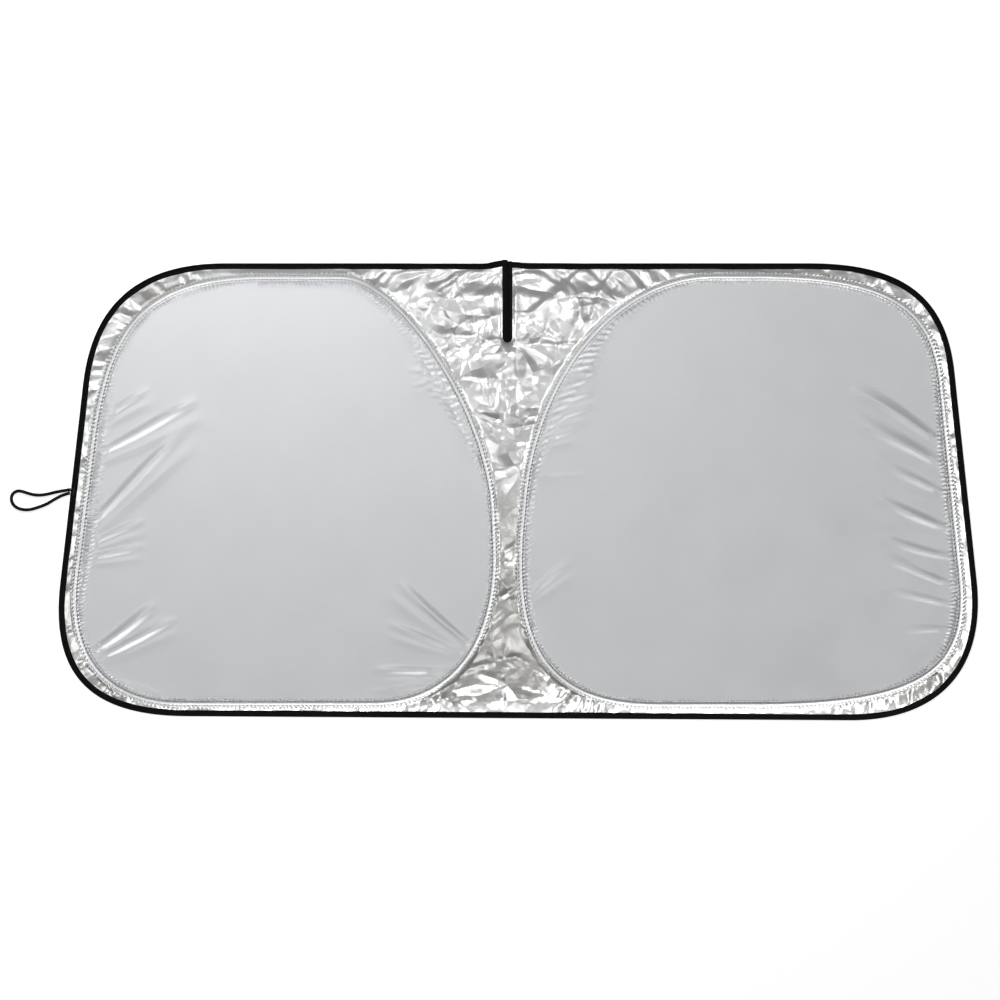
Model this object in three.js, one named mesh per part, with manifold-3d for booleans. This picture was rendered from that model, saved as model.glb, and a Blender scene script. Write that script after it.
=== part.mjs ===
// Windscreen sunshade of the kind that twists up small. Two sprung steel hoops, each in a sewn casing,
// stretch a panel of silvered cloth. A slack, crumpled sheet joins them and fills out the four-sided
// shape. A folded black tape binds the edge, a slit with its own tape lets the mirror stalk through, and
// an elastic loop at one end holds the shade when it is twisted up.
// Millimetres. The shade lies flat: +X along its length, +Y towards the edge with the slit, +Z up.

import * as THREE from "three";
import { mergeVertices } from "three/addons/utils/BufferGeometryUtils.js";
import Module from "manifold-3d";

const wasm = await Module();
wasm.setup();

// Cut size of the shade, between the points where its straight edges would meet.
const TOP_LENGTH = 1379;
const BOTTOM_LENGTH = 1543;
const TOP_SHIFT = 2.5;
const LEFT_HEIGHT = 737;
const RIGHT_HEIGHT = 746.5;
const TOP_EDGE_Y = 372; // as drawn, before the origin is moved under the middle

// How each corner of the outline is rounded: where the curve starts before the sharp corner and ends
// after it, going clockwise, and how hard it is pulled towards it.
const OUTLINE_ROUNDING = {
  topLeft: { before: 198, after: 209, pull: 0.67 },
  topRight: { before: 219, after: 179, pull: 0.7 },
  bottomRight: { before: 229, after: 231, pull: 0.63 },
  bottomLeft: { before: 230, after: 217, pull: 0.69 },
};

// The hoops' corners. Each lies a distance in from the top or bottom edge, and then either in from the
// leaning side or right of the shade's middle line.
const MIDDLE_X = -18;
const LEFT_HOOP_CORNERS = {
  topLeft: { edge: 23.5, side: 30.8, before: 267, after: 247, pull: 0.75 },
  topRight: { edge: 23.5, rightOfMiddle: -38, before: 234, after: 385, pull: 0.42 },
  bottomRight: { edge: 24, rightOfMiddle: -11.5, before: 257, after: 208, pull: 0.62 },
  bottomLeft: { edge: 19.7, side: 22.6, before: 199, after: 210, pull: 0.63 },
};
const RIGHT_HOOP_CORNERS = {
  topLeft: { edge: 22.5, rightOfMiddle: 64.3, before: 357, after: 270, pull: 0.56 },
  topRight: { edge: 22.5, side: 24.2, before: 282, after: 174, pull: 0.74 },
  bottomRight: { edge: 26.8, side: 27.3, before: 207, after: 356, pull: 0.75 },
  bottomLeft: { edge: 22, rightOfMiddle: -4.5, before: 250, after: 307, pull: 0.71 },
};

// Cloth, tape and the clearance between one layer and the next.
const CLOTH = 0.5;
const LAYER_GAP = 0.3;
const TAPE = 0.5;
const TAPE_WIDTH = 10;
const RAW_EDGE_SHORT_OF_FOLD = 3.2;

// Mirror slit. Its tape doubles back round the end, and the edge is pulled up into a peak over it.
const SLIT_DEPTH = 121;
const SLIT_GAP = 0.6;
const SLIT_TAPE_WIDTH = 8.7;
const PEAK_RISE_LEFT = 5;
const PEAK_RISE_RIGHT = 2.5;
const PEAK_REACH = 45;

// Hoop, the crimped sleeve that joins its ends, and the casing sewn over it.
const WIRE_DIAMETER = 2.5;
const WIRE_END_GAP = 0.6;
const FERRULE_WALL = 0.4;
const FERRULE_LENGTH = 24;
const CASING_WIDTH = 12;
const CASING_END_GAP = 0.4;
const CASING_FOOT_SPREAD = 1.24; // half widths of its channel, as shares of what the sleeve needs
const CASING_SHOULDER_SPREAD = 0.8;
const SHEET_LAP_UNDER_CASING = 5;
const PANEL_EDGE_FROM_WIRE = 2.4;

// Slackness of the sheet: how high its facets stand, what share of that the high and the low ones
// take, how far apart they are and how far each strays from an even grid.
const CRUMPLE_HEIGHT = 5;
const MARGIN_PLEAT_HEIGHT = 2.5;
const HIGH_FACETS = { least: 0.45, most: 1 };
const LOW_FACETS = { least: 0, most: 0.25 };
const CRUMPLE_SPACING = 34;
const FACET_STRAY_ALONG = 0.4;
const FACET_STRAY_ACROSS = 8;
const MIDDLE_STRAY = 0.3;
const NARROWEST_FACET = 4;

// Tautness of the panels.
const FOLD_DIP = 0.9;
const FOLD_POINT_SPACING = 8;
const FOLD_STEP = 1.9; // in half widths of the fold
const FOLD_SWELL_AT_RIM = 0.25;
const PANEL_PATCH = 84;
const PATCH_CLEAR_OF_OTHERS = 38;
const PATCH_CLEAR_OF_RIM = 21;
const PANEL_UNEVENNESS = 0.6;

// Folds that the hoop's pull leaves in each panel. Each starts at a share of the way round the hoop,
// clockwise from the middle of its bottom run, and leans from the inward direction by some degrees.
const LEFT_FOLDS = [
  { at: 0.29, lean: 35, length: 199, halfWidth: 15, rise: 4 },
  { at: 0.236, lean: 52, length: 238, halfWidth: 15, rise: 5 },
  { at: 0.216, lean: 21, length: 114, halfWidth: 12, rise: 2.5 },
  { at: 0.147, lean: 9, length: 145, halfWidth: 15, rise: 2.5 },
  { at: 0.131, lean: -65, length: 125, halfWidth: 12, rise: 4 },
  { at: 0.851, lean: -12, length: 167, halfWidth: 13, rise: 2.5 },
  { at: 0.87, lean: 44, length: 138, halfWidth: 12, rise: 2 },
  { at: 0.65, lean: -28, length: 68, halfWidth: 12, rise: 1.5 },
];
const RIGHT_FOLDS = [
  { at: 0.327, lean: 57, length: 82, halfWidth: 12, rise: 2 },
  { at: 0.302, lean: 39, length: 85, halfWidth: 12, rise: 2 },
  { at: 0.185, lean: 32, length: 102, halfWidth: 12, rise: 2 },
  { at: 0.706, lean: -38, length: 164, halfWidth: 16, rise: 2.5 },
  { at: 0.742, lean: -34, length: 120, halfWidth: 13, rise: 2 },
  { at: 0.77, lean: -31, length: 135, halfWidth: 13, rise: 2.5 },
  { at: 0.802, lean: -24, length: 127, halfWidth: 13, rise: 2 },
  { at: 0.836, lean: 40, length: 95, halfWidth: 12, rise: 2.5 },
];

// Elastic loop: its two ends go into the fold of the binding. Points along its middle as it lies.
const ELASTIC_DIAMETER = 4.5;
const ELASTIC_FLOOR_GAP = 0.2;
const ELASTIC_POINTS = [
  [-730, 3], [-742, 1], [-754, -1], [-765, -4], [-777, -6], [-788, -6], [-796, -4], [-805, -1],
  [-811, 1], [-817, 2], [-822, -1], [-826, -5], [-827, -11], [-826, -17], [-822, -24], [-815, -28],
  [-806, -30], [-796, -30], [-786, -27], [-777, -24], [-767, -20], [-758, -14], [-749, -9],
  [-740, -5], [-731.2, -2.6],
];
const TACK_LENGTH = 13;
const TACK_WIDTH = 3.5;
const TACK_HEIGHT = 0.8;

// Facets.
const OUTLINE_STEPS = 76;
const HOOP_STEPS = 56;
const WIRE_SIDES = 6;
const ELASTIC_SIDES = 8;
const ELASTIC_STEPS = 30;
const TURN_SEGMENTS = 8;
const SLIT_STEPS = 4;
const FERRULE_SIDES = 12;
const FINE_STEPS = 360;

// Heights of the stacked layers.
const SHEET_UNDERSIDE = TAPE + LAYER_GAP;
const SHEET_TOP = SHEET_UNDERSIDE + CLOTH;
const TAPE_HEIGHT = SHEET_TOP + LAYER_GAP + TAPE;
const PANEL_UNDERSIDE = SHEET_TOP + LAYER_GAP;
const PANEL_TOP = PANEL_UNDERSIDE + CLOTH;
const FERRULE_BORE_RADIUS = WIRE_DIAMETER / 2 + LAYER_GAP;
const FERRULE_RADIUS = FERRULE_BORE_RADIUS + FERRULE_WALL;
const WIRE_HEIGHT = SHEET_TOP + LAYER_GAP + FERRULE_RADIUS;
const LOWEST_TOP = CLOTH + LAYER_GAP;

const CLOCKWISE = ["topLeft", "topRight", "bottomRight", "bottomLeft"];
const HALF_TURN_DEGREES = 180;
const EDGE_LEFT_TO_CORNERS = 0.98; // largest share of an edge that the curves at its ends take up
const SLANTEST_CROSSING = 0.35; // least cosine between a row of facets and the way out of the sheet

// A repeatable share from 0 to 1 for a pair of counts, so that crumples look unplanned.
function scatter(a, b) {
  const value = Math.sin(a * 12.9898 + b * 78.233) * 43758.5453;
  return value - Math.floor(value);
}

// Straight edge lines of the cut shape, each from one sharp corner to the next, clockwise.
function sharpOutline() {
  return {
    topLeft: new THREE.Vector2(TOP_SHIFT - TOP_LENGTH / 2, TOP_EDGE_Y),
    topRight: new THREE.Vector2(TOP_SHIFT + TOP_LENGTH / 2, TOP_EDGE_Y),
    bottomRight: new THREE.Vector2(BOTTOM_LENGTH / 2, TOP_EDGE_Y - RIGHT_HEIGHT),
    bottomLeft: new THREE.Vector2(-BOTTOM_LENGTH / 2, TOP_EDGE_Y - LEFT_HEIGHT),
  };
}

const OUTLINE = sharpOutline();

// The line from one sharp corner to another, moved in by a distance. Inside is right of its direction.
function insetLine(from, to, inset) {
  const direction = to.clone().sub(from).normalize();
  const inward = new THREE.Vector2(direction.y, -direction.x);
  return { point: from.clone().addScaledVector(inward, inset), direction };
}

function meetingPoint(a, b) {
  const between = b.point.clone().sub(a.point);
  const along = between.cross(b.direction) / a.direction.cross(b.direction);
  return a.point.clone().addScaledVector(a.direction, along);
}

// Sharp corners of a hoop, from its margins to the outline and the middle line.
function hoopCorners(margins) {
  const corners = {};
  for (const name of CLOCKWISE) {
    const margin = margins[name];
    const isTop = name.startsWith("top");
    const edge = isTop
      ? insetLine(OUTLINE.topLeft, OUTLINE.topRight, margin.edge)
      : insetLine(OUTLINE.bottomRight, OUTLINE.bottomLeft, margin.edge);
    let side = {
      point: new THREE.Vector2(MIDDLE_X + margin.rightOfMiddle, 0),
      direction: new THREE.Vector2(0, 1),
    };
    if (margin.side !== undefined) {
      side = name.endsWith("Left")
        ? insetLine(OUTLINE.bottomLeft, OUTLINE.topLeft, margin.side)
        : insetLine(OUTLINE.topRight, OUTLINE.bottomRight, margin.side);
    }
    corners[name] = meetingPoint(edge, side);
  }
  return corners;
}

const flat = (point) => new THREE.Vector3(point.x, point.y, 0);

// The rounded corners as curves, by name. Two curves on one edge share its length where it is short.
function cornerCurves(corners, rounding) {
  const curves = {};
  const edgeShare = (from, to) => {
    const wanted = rounding[from].after + rounding[to].before;
    return Math.min(1, (EDGE_LEFT_TO_CORNERS * corners[from].distanceTo(corners[to])) / wanted);
  };
  CLOCKWISE.forEach((name, i) => {
    const previous = CLOCKWISE[(i + CLOCKWISE.length - 1) % CLOCKWISE.length];
    const next = CLOCKWISE[(i + 1) % CLOCKWISE.length];
    const corner = corners[name];
    const { before, after, pull } = rounding[name];
    const back = corners[previous].clone().sub(corner).setLength(before * edgeShare(previous, name));
    const on = corners[next].clone().sub(corner).setLength(after * edgeShare(name, next));
    curves[name] = new THREE.CubicBezierCurve3(
      flat(corner.clone().add(back)),
      flat(corner.clone().addScaledVector(back, 1 - pull)),
      flat(corner.clone().addScaledVector(on, 1 - pull)),
      flat(corner.clone().add(on)),
    );
  });
  return curves;
}

// Adds curves to a path one after another, with a straight run up to each and on to the end point.
function joinRuns(path, start, curves, end) {
  let at = start;
  for (const curve of curves) {
    path.add(new THREE.LineCurve3(at, curve.v0));
    path.add(curve);
    at = curve.v3;
  }
  path.add(new THREE.LineCurve3(at, end));
  return path;
}

// Middle line of a hoop's casing: clockwise, from just past the middle of its bottom run.
function hoopPath(margins, endGap) {
  const corners = hoopCorners(margins);
  const curves = cornerCurves(corners, margins);
  const middle = flat(corners.bottomRight.clone().add(corners.bottomLeft).multiplyScalar(0.5));
  const along = flat(corners.bottomLeft).sub(flat(corners.bottomRight)).setLength(endGap / 2);
  return joinRuns(
    new THREE.CurvePath(),
    middle.clone().add(along),
    [curves.bottomLeft, curves.topLeft, curves.topRight, curves.bottomRight],
    middle.clone().sub(along),
  );
}

// Outer edge of the binding: clockwise from the right of the slit round to its left.
function outlinePath() {
  const topY = OUTLINE.topLeft.y;
  const curves = cornerCurves(OUTLINE, OUTLINE_ROUNDING);
  const path = new THREE.CurvePath();
  const peak = (side, rise) => {
    const atSlit = new THREE.Vector3(MIDDLE_X + (side * SLIT_GAP) / 2, topY + rise, 0);
    const foot = new THREE.Vector3(MIDDLE_X + side * PEAK_REACH, topY, 0);
    const half = (side * PEAK_REACH) / 2;
    const nearPeak = atSlit.clone().setX(MIDDLE_X + half);
    const nearFoot = foot.clone().setX(foot.x - half);
    return { atSlit, foot, nearPeak, nearFoot };
  };
  const right = peak(1, PEAK_RISE_RIGHT);
  const left = peak(-1, PEAK_RISE_LEFT);
  path.add(new THREE.CubicBezierCurve3(right.atSlit, right.nearPeak, right.nearFoot, right.foot));
  const round = [curves.topRight, curves.bottomRight, curves.bottomLeft, curves.topLeft];
  joinRuns(path, right.foot, round, left.foot);
  path.add(new THREE.CubicBezierCurve3(left.foot, left.nearFoot, left.nearPeak, left.atSlit));
  return path;
}

// A point of a path with the direction that points out of the shape which the path goes round.
function station(path, share) {
  const point = path.getPointAt(share);
  const along = path.getTangentAt(share);
  return { point, outward: new THREE.Vector3(-along.y, along.x, 0) };
}

function middleOf(points) {
  return points.reduce((sum, point) => sum.add(point), new THREE.Vector3()).divideScalar(points.length);
}

const offsetPoint = (place, distance) => place.point.clone().addScaledVector(place.outward, distance);

// A strip of constant section along a path. The section is a list of distances out from the path and
// heights.
function strip(path, steps, section) {
  const shape = new THREE.Shape(section.map(([out, height]) => new THREE.Vector2(-height, out)));
  return new THREE.ExtrudeGeometry(shape, { steps, extrudePath: path, bevelEnabled: false });
}

function roundSection(radius, sides, height) {
  return Array.from({ length: sides }, (_, i) => {
    const angle = ((i + 0.5) / sides) * 2 * Math.PI;
    return [radius * Math.cos(angle), height + radius * Math.sin(angle)];
  });
}

// The same triangle with its corners counterclockwise, seen from above.
function faceUp(points, [a, b, c]) {
  const turn = (points[b].x - points[a].x) * (points[c].y - points[a].y)
    - (points[b].y - points[a].y) * (points[c].x - points[a].x);
  return turn > 0 ? [a, b, c] : [a, c, b];
}

// A sheet of even thickness from its upper face: the points of that face and its triangles, which face
// up. A wall closes every edge that only one triangle has.
function thickSheet(points, upward, thickness) {
  const count = points.length;
  const edges = new Map();
  for (const [a, b, c] of upward) {
    for (const [from, to] of [[a, b], [b, c], [c, a]]) {
      const back = `${to} ${from}`;
      if (edges.has(back)) edges.delete(back);
      else edges.set(`${from} ${to}`, [from, to]);
    }
  }
  const index = [];
  for (const [a, b, c] of upward) {
    index.push(a, b, c);
    index.push(a + count, c + count, b + count);
  }
  for (const [from, to] of edges.values()) {
    index.push(from, from + count, to + count);
    index.push(from, to + count, to);
  }
  const positions = [0, thickness].flatMap((drop) => points.flatMap((p) => [p.x, p.y, p.z - drop]));
  return new THREE.BufferGeometry()
    .setAttribute("position", new THREE.Float32BufferAttribute(positions, 3))
    .setIndex(index);
}

// Triangles between two rows of points that run side by side, each a list of numbers of points.
function zip(rowA, rowB) {
  const triangles = [];
  let i = 0;
  let j = 0;
  while (i < rowA.length - 1 || j < rowB.length - 1) {
    const nextA = (i + 1) / (rowA.length - 1);
    const nextB = (j + 1) / (rowB.length - 1);
    if (j === rowB.length - 1 || (i < rowA.length - 1 && nextA <= nextB)) {
      triangles.push([rowA[i], rowA[i + 1], rowB[j]]);
      i += 1;
    } else {
      triangles.push([rowA[i], rowB[j + 1], rowB[j]]);
      j += 1;
    }
  }
  return triangles;
}

// Whether a point lies inside the circle through three others.
function inCircle(point, a, b, c) {
  const ax = a.x - point.x;
  const ay = a.y - point.y;
  const bx = b.x - point.x;
  const by = b.y - point.y;
  const cx = c.x - point.x;
  const cy = c.y - point.y;
  const determinant = (ax * ax + ay * ay) * (bx * cy - cx * by)
    - (bx * bx + by * by) * (ax * cy - cx * ay)
    + (cx * cx + cy * cy) * (ax * by - bx * ay);
  const turn = (b.x - a.x) * (c.y - a.y) - (b.y - a.y) * (c.x - a.x);
  return determinant * Math.sign(turn) > 0;
}

// Even triangles over scattered points of a convex sheet, each point joined to its near neighbours.
// Straight runs of the rim are bowed out by a hair first, so that each of its points stays on the rim.
function triangulate(points, centre) {
  const far = 1e5;
  const bow = 1e-7;
  const bowed = points.map((point) => {
    const away = new THREE.Vector2(point.x - centre.x, point.y - centre.y);
    return away.multiplyScalar(1 - bow * away.lengthSq());
  });
  const all = [...bowed, { x: -far, y: -far }, { x: far, y: -far }, { x: 0, y: far }];
  let triangles = [[points.length, points.length + 1, points.length + 2]];
  bowed.forEach((point, number) => {
    const edges = new Map();
    const kept = [];
    for (const [a, b, c] of triangles) {
      if (!inCircle(point, all[a], all[b], all[c])) {
        kept.push([a, b, c]);
        continue;
      }
      for (const [from, to] of [[a, b], [b, c], [c, a]]) {
        const key = [Math.min(from, to), Math.max(from, to)].join(" ");
        if (edges.has(key)) edges.delete(key);
        else edges.set(key, [from, to]);
      }
    }
    for (const [from, to] of edges.values()) kept.push([from, to, number]);
    triangles = kept;
  });
  return triangles.filter((corners) => Math.max(...corners) < points.length);
}

// How far from a centre a closed line of points lies, by direction.
function reachByAngle(centre, line) {
  const table = line.map((point) => {
    const x = point.x - centre.x;
    const y = point.y - centre.y;
    return { angle: Math.atan2(y, x), reach: Math.hypot(x, y) };
  });
  table.sort((a, b) => a.angle - b.angle);
  return (angle) => {
    let next = table.findIndex((row) => row.angle > angle);
    if (next < 0) next = 0;
    const before = table[(next + table.length - 1) % table.length];
    const after = table[next];
    const turn = (value) => (value + 2 * Math.PI) % (2 * Math.PI);
    const share = turn(angle - before.angle) / (turn(after.angle - before.angle) || 1);
    return before.reach + (after.reach - before.reach) * share;
  };
}

const binding = outlinePath();
const hoops = [
  { name: "left", margins: LEFT_HOOP_CORNERS, folds: LEFT_FOLDS, side: -1 },
  { name: "right", margins: RIGHT_HOOP_CORNERS, folds: RIGHT_FOLDS, side: 1 },
];

const SLIT_TOP_Y = OUTLINE.topLeft.y;
const SLIT_END_Y = SLIT_TOP_Y - SLIT_DEPTH;
const SLIT_SHEET_EDGE = SLIT_GAP / 2 + TAPE + LAYER_GAP;
const SLIT_TAPE_REACH = SLIT_GAP / 2 + SLIT_TAPE_WIDTH;
const SHEET_EDGE_INSET = TAPE + RAW_EDGE_SHORT_OF_FOLD;
const FLAT_BESIDE_TAPE = 2.5;
const FLAT_BESIDE_CASING = 2;
const PANEL_FLAT_BESIDE_CASING = 1.5;

// Where the outline crosses the middle line at the bottom, as a share of its length.
function bottomMiddleShare() {
  let low = 0.3;
  let high = 0.7;
  for (let i = 0; i < 40; i++) {
    const middle = (low + high) / 2;
    if (binding.getPointAt(middle).x > MIDDLE_X) low = middle;
    else high = middle;
  }
  return low;
}

const BOTTOM_MIDDLE = bottomMiddleShare();

// Heights of the slack sheet: pleats across the narrow margins, and a crumple of high and low facets
// in the wide middle.
function crumpleHeight(row, place, isMargin) {
  const isHigh = (row + place) % 2 === 0;
  const rise = isMargin ? MARGIN_PLEAT_HEIGHT : CRUMPLE_HEIGHT;
  const { least, most } = isHigh ? HIGH_FACETS : LOW_FACETS;
  const chance = isHigh ? scatter(row, place) : scatter(place, row);
  return LOWEST_TOP + LAYER_GAP + rise * (least + (most - least) * chance);
}

// Points down the middle line, from the end of the slit to the bottom edge, which both halves share.
function middleLine() {
  const topY = SLIT_END_Y - SLIT_SHEET_EDGE * Math.SQRT2;
  const flatTopY = SLIT_END_Y - SLIT_TAPE_REACH - FLAT_BESIDE_TAPE;
  const edge = binding.getPointAt(BOTTOM_MIDDLE).y;
  const flatBottomY = edge + TAPE_WIDTH + FLAT_BESIDE_TAPE;
  const count = Math.round((flatTopY - flatBottomY) / CRUMPLE_SPACING);
  const points = [topY, flatTopY].map((y) => new THREE.Vector3(MIDDLE_X, y, SHEET_TOP));
  for (let i = 1; i < count; i++) {
    const shift = (scatter(i, 3) - 0.5) * CRUMPLE_SPACING * MIDDLE_STRAY;
    const y = flatTopY + ((flatBottomY - flatTopY) * i) / count;
    points.push(new THREE.Vector3(MIDDLE_X + shift, y, crumpleHeight(i, 0, false)));
  }
  points.push(new THREE.Vector3(MIDDLE_X, flatBottomY, SHEET_TOP));
  return points;
}

const MIDDLE_LINE = middleLine();

// The rim of one half of the sheet, in order round it. Each place has its point, the way out of the
// sheet there, and how far in from it the sheet is held flat by a tape: nothing where it runs free.
function halfRim(side) {
  const rim = [];
  const steps = Math.round(OUTLINE_STEPS / 2);
  const [from, to] = side < 0 ? [BOTTOM_MIDDLE, 1] : [0, BOTTOM_MIDDLE];
  const heldIn = TAPE_WIDTH + FLAT_BESIDE_TAPE - SHEET_EDGE_INSET;
  for (let i = 0; i <= steps; i++) {
    const place = station(binding, from + ((to - from) * i) / steps);
    const point = offsetPoint(place, -SHEET_EDGE_INSET).setZ(SHEET_TOP);
    const isBottomMiddle = side < 0 ? i === 0 : i === steps;
    if (isBottomMiddle) point.setX(MIDDLE_X);
    else point.setX(side * Math.max(side * point.x, side * MIDDLE_X + SLIT_SHEET_EDGE));
    rim.push({ point, outward: place.outward, heldIn });
  }
  if (side > 0) rim.reverse();
  const slitHeldIn = SLIT_TAPE_REACH + FLAT_BESIDE_TAPE - SLIT_SHEET_EDGE;
  const slitX = MIDDLE_X + side * SLIT_SHEET_EDGE;
  const startY = rim[rim.length - 1].point.y;
  const outward = new THREE.Vector3(-side, 0, 0);
  const endY = SLIT_END_Y - SLIT_SHEET_EDGE * (Math.SQRT2 - 1);
  for (let i = 1; i <= SLIT_STEPS; i++) {
    const y = startY + ((endY - startY) * i) / SLIT_STEPS;
    rim.push({ point: new THREE.Vector3(slitX, y, SHEET_TOP), outward, heldIn: slitHeldIn });
  }
  MIDDLE_LINE.forEach((point, i) => {
    rim.push({ point: point.clone(), outward, heldIn: i === 0 ? slitHeldIn : 0 });
  });
  return rim;
}

// One half of the slack sheet: rows of points that run out from the hoop's centre, from the lap under
// the casing to the rim.
function halfSheet(hoop, points) {
  const path = hoopPath(hoop.margins, 0);
  const ring = Array.from({ length: FINE_STEPS }, (_, i) => station(path, i / FINE_STEPS));
  const centre = middleOf(ring.map((place) => place.point));
  const lapReach = reachByAngle(centre, ring.map((place) => offsetPoint(place, -SHEET_LAP_UNDER_CASING)));
  const clearOut = CASING_WIDTH / 2 + FLAT_BESIDE_CASING;
  const clearReach = reachByAngle(centre, ring.map((place) => offsetPoint(place, clearOut)));
  const rows = halfRim(hoop.side).map((place, row) => {
    const away = place.point.clone().sub(centre).setZ(0);
    const full = away.length();
    away.normalize();
    const across = new THREE.Vector3(-away.y, away.x, 0);
    const angle = Math.atan2(away.y, away.x);
    const at = (reach, height) => centre.clone().addScaledVector(away, reach).setZ(height);
    const held = place.heldIn / Math.max(SLANTEST_CROSSING, Math.abs(away.dot(place.outward)));
    const inner = clearReach(angle);
    const outer = full - held;
    const lap = at(lapReach(angle), SHEET_TOP);
    if (outer - inner < NARROWEST_FACET) {
      const between = at((inner + outer) / 2, SHEET_TOP);
      return { lap: [lap, between], core: [between], hem: [between, place.point] };
    }
    const core = [at(inner, SHEET_TOP)];
    const isMargin = outer - inner < CRUMPLE_SPACING;
    const count = Math.max(1, Math.round((outer - inner) / CRUMPLE_SPACING - 0.5));
    for (let i = 1; i <= count; i++) {
      const step = (outer - inner) / (count + 1);
      const nudge = isMargin ? 0 : FACET_STRAY_ALONG * step * (scatter(row, i + 7) - 0.5);
      const sway = isMargin ? 0 : FACET_STRAY_ACROSS * (scatter(i, row + 5) - 0.5);
      const height = crumpleHeight(row, i, isMargin);
      core.push(at(inner + step * i + nudge, height).addScaledVector(across, sway));
    }
    const hem = place.heldIn > 0 ? [at(outer, SHEET_TOP), place.point] : [place.point];
    core.push(hem[0]);
    return { lap: [lap, core[0]], core, hem };
  });
  const numbers = new Map();
  const number = (point) => {
    if (!numbers.has(point)) {
      numbers.set(point, points.length);
      points.push(point);
    }
    return numbers.get(point);
  };
  const triangles = rows.flatMap((row, i) => {
    const next = rows[(i + 1) % rows.length];
    return ["lap", "core", "hem"].flatMap((part) => zip(row[part].map(number), next[part].map(number)));
  });
  return hoop.side > 0 ? triangles : triangles.map(([a, b, c]) => [a, c, b]);
}

// The whole slack sheet, its two halves sewn into one along the middle line.
function surroundSheet() {
  const points = [];
  const triangles = hoops.flatMap((hoop) => halfSheet(hoop, points));
  const firstAt = new Map();
  const joined = points.map((point, i) => {
    const key = [point.x, point.y].map((value) => value.toFixed(2)).join(" ");
    if (!firstAt.has(key)) firstAt.set(key, i);
    return firstAt.get(key);
  });
  const used = [...new Set(joined)];
  const place = new Map(used.map((number, i) => [number, i]));
  return thickSheet(
    used.map((number) => points[number]),
    triangles.map((corners) => corners.map((corner) => place.get(joined[corner]))),
    CLOTH,
  );
}

// Points of one fold of a panel: a crest that swells and dies away, with a dip on each side.
function foldPoints(path, fold) {
  const start = station(path, fold.at);
  const inward = start.outward.clone().negate();
  const along = new THREE.Vector3(inward.y, -inward.x, 0);
  const lean = (fold.lean * Math.PI) / HALF_TURN_DEGREES;
  const heading = inward.clone().multiplyScalar(Math.cos(lean)).addScaledVector(along, -Math.sin(lean));
  const beside = new THREE.Vector3(-heading.y, heading.x, 0);
  const origin = start.point.clone().addScaledVector(inward, CASING_WIDTH / 2 + fold.halfWidth);
  const count = Math.max(3, Math.round(fold.length / (FOLD_STEP * fold.halfWidth)));
  const points = [];
  for (let i = 0; i <= count; i++) {
    const share = i / count;
    const swell = Math.sin(Math.PI * (FOLD_SWELL_AT_RIM + (1 - FOLD_SWELL_AT_RIM) * share));
    const middle = origin.clone().addScaledVector(heading, fold.length * share);
    points.push(middle.clone().setZ(PANEL_TOP + fold.rise * swell));
    for (const side of [-1, 1]) {
      const foot = middle.clone().addScaledVector(beside, side * fold.halfWidth);
      points.push(foot.setZ(PANEL_TOP - FOLD_DIP * swell));
    }
  }
  return points;
}

// A taut panel. Its rim is flat under the casing, its folds run in from the rim, and the rest is
// filled with wide, nearly level patches.
function panel(hoop) {
  const path = hoopPath(hoop.margins, CASING_END_GAP);
  const places = Array.from({ length: HOOP_STEPS }, (_, i) => station(path, i / HOOP_STEPS));
  const flatRim = CASING_WIDTH / 2 + PANEL_FLAT_BESIDE_CASING;
  const rim = places.map((place) => offsetPoint(place, -PANEL_EDGE_FROM_WIRE).setZ(PANEL_TOP));
  const held = places.map((place) => offsetPoint(place, -flatRim).setZ(PANEL_TOP));
  const centre = middleOf(rim);
  const innerReach = reachByAngle(centre, held);
  const isInside = (point, margin) => {
    const angle = Math.atan2(point.y - centre.y, point.x - centre.x);
    return Math.hypot(point.x - centre.x, point.y - centre.y) < innerReach(angle) - margin;
  };
  const points = [...held];
  const addIfClear = (point, distance, margin) => {
    const isClear = points.every((other) => Math.hypot(other.x - point.x, other.y - point.y) > distance);
    if (isClear && isInside(point, margin)) points.push(point);
  };
  for (const fold of hoop.folds) {
    for (const point of foldPoints(path, fold)) {
      addIfClear(point, FOLD_POINT_SPACING, FOLD_POINT_SPACING);
    }
  }
  const box = new THREE.Box3().setFromPoints(rim);
  const rowStep = (PANEL_PATCH * Math.sqrt(3)) / 2;
  let row = 0;
  for (let y = box.min.y + rowStep / 2; y < box.max.y; y += rowStep) {
    row += 1;
    for (let x = box.min.x + ((row % 2) * PANEL_PATCH) / 2; x < box.max.x; x += PANEL_PATCH) {
      const chance = scatter(Math.round(x / PANEL_PATCH), row);
      const point = new THREE.Vector3(x, y, PANEL_TOP + PANEL_UNEVENNESS * (chance - 0.5));
      addIfClear(point, PATCH_CLEAR_OF_OTHERS, PATCH_CLEAR_OF_RIM);
    }
  }
  const triangles = triangulate(points, centre);
  held.forEach((_, i) => {
    const next = (i + 1) % held.length;
    triangles.push([i, next, points.length + i], [next, points.length + next, points.length + i]);
  });
  points.push(...rim);
  return thickSheet(points, triangles.map((corners) => faceUp(points, corners)), CLOTH);
}

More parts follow.
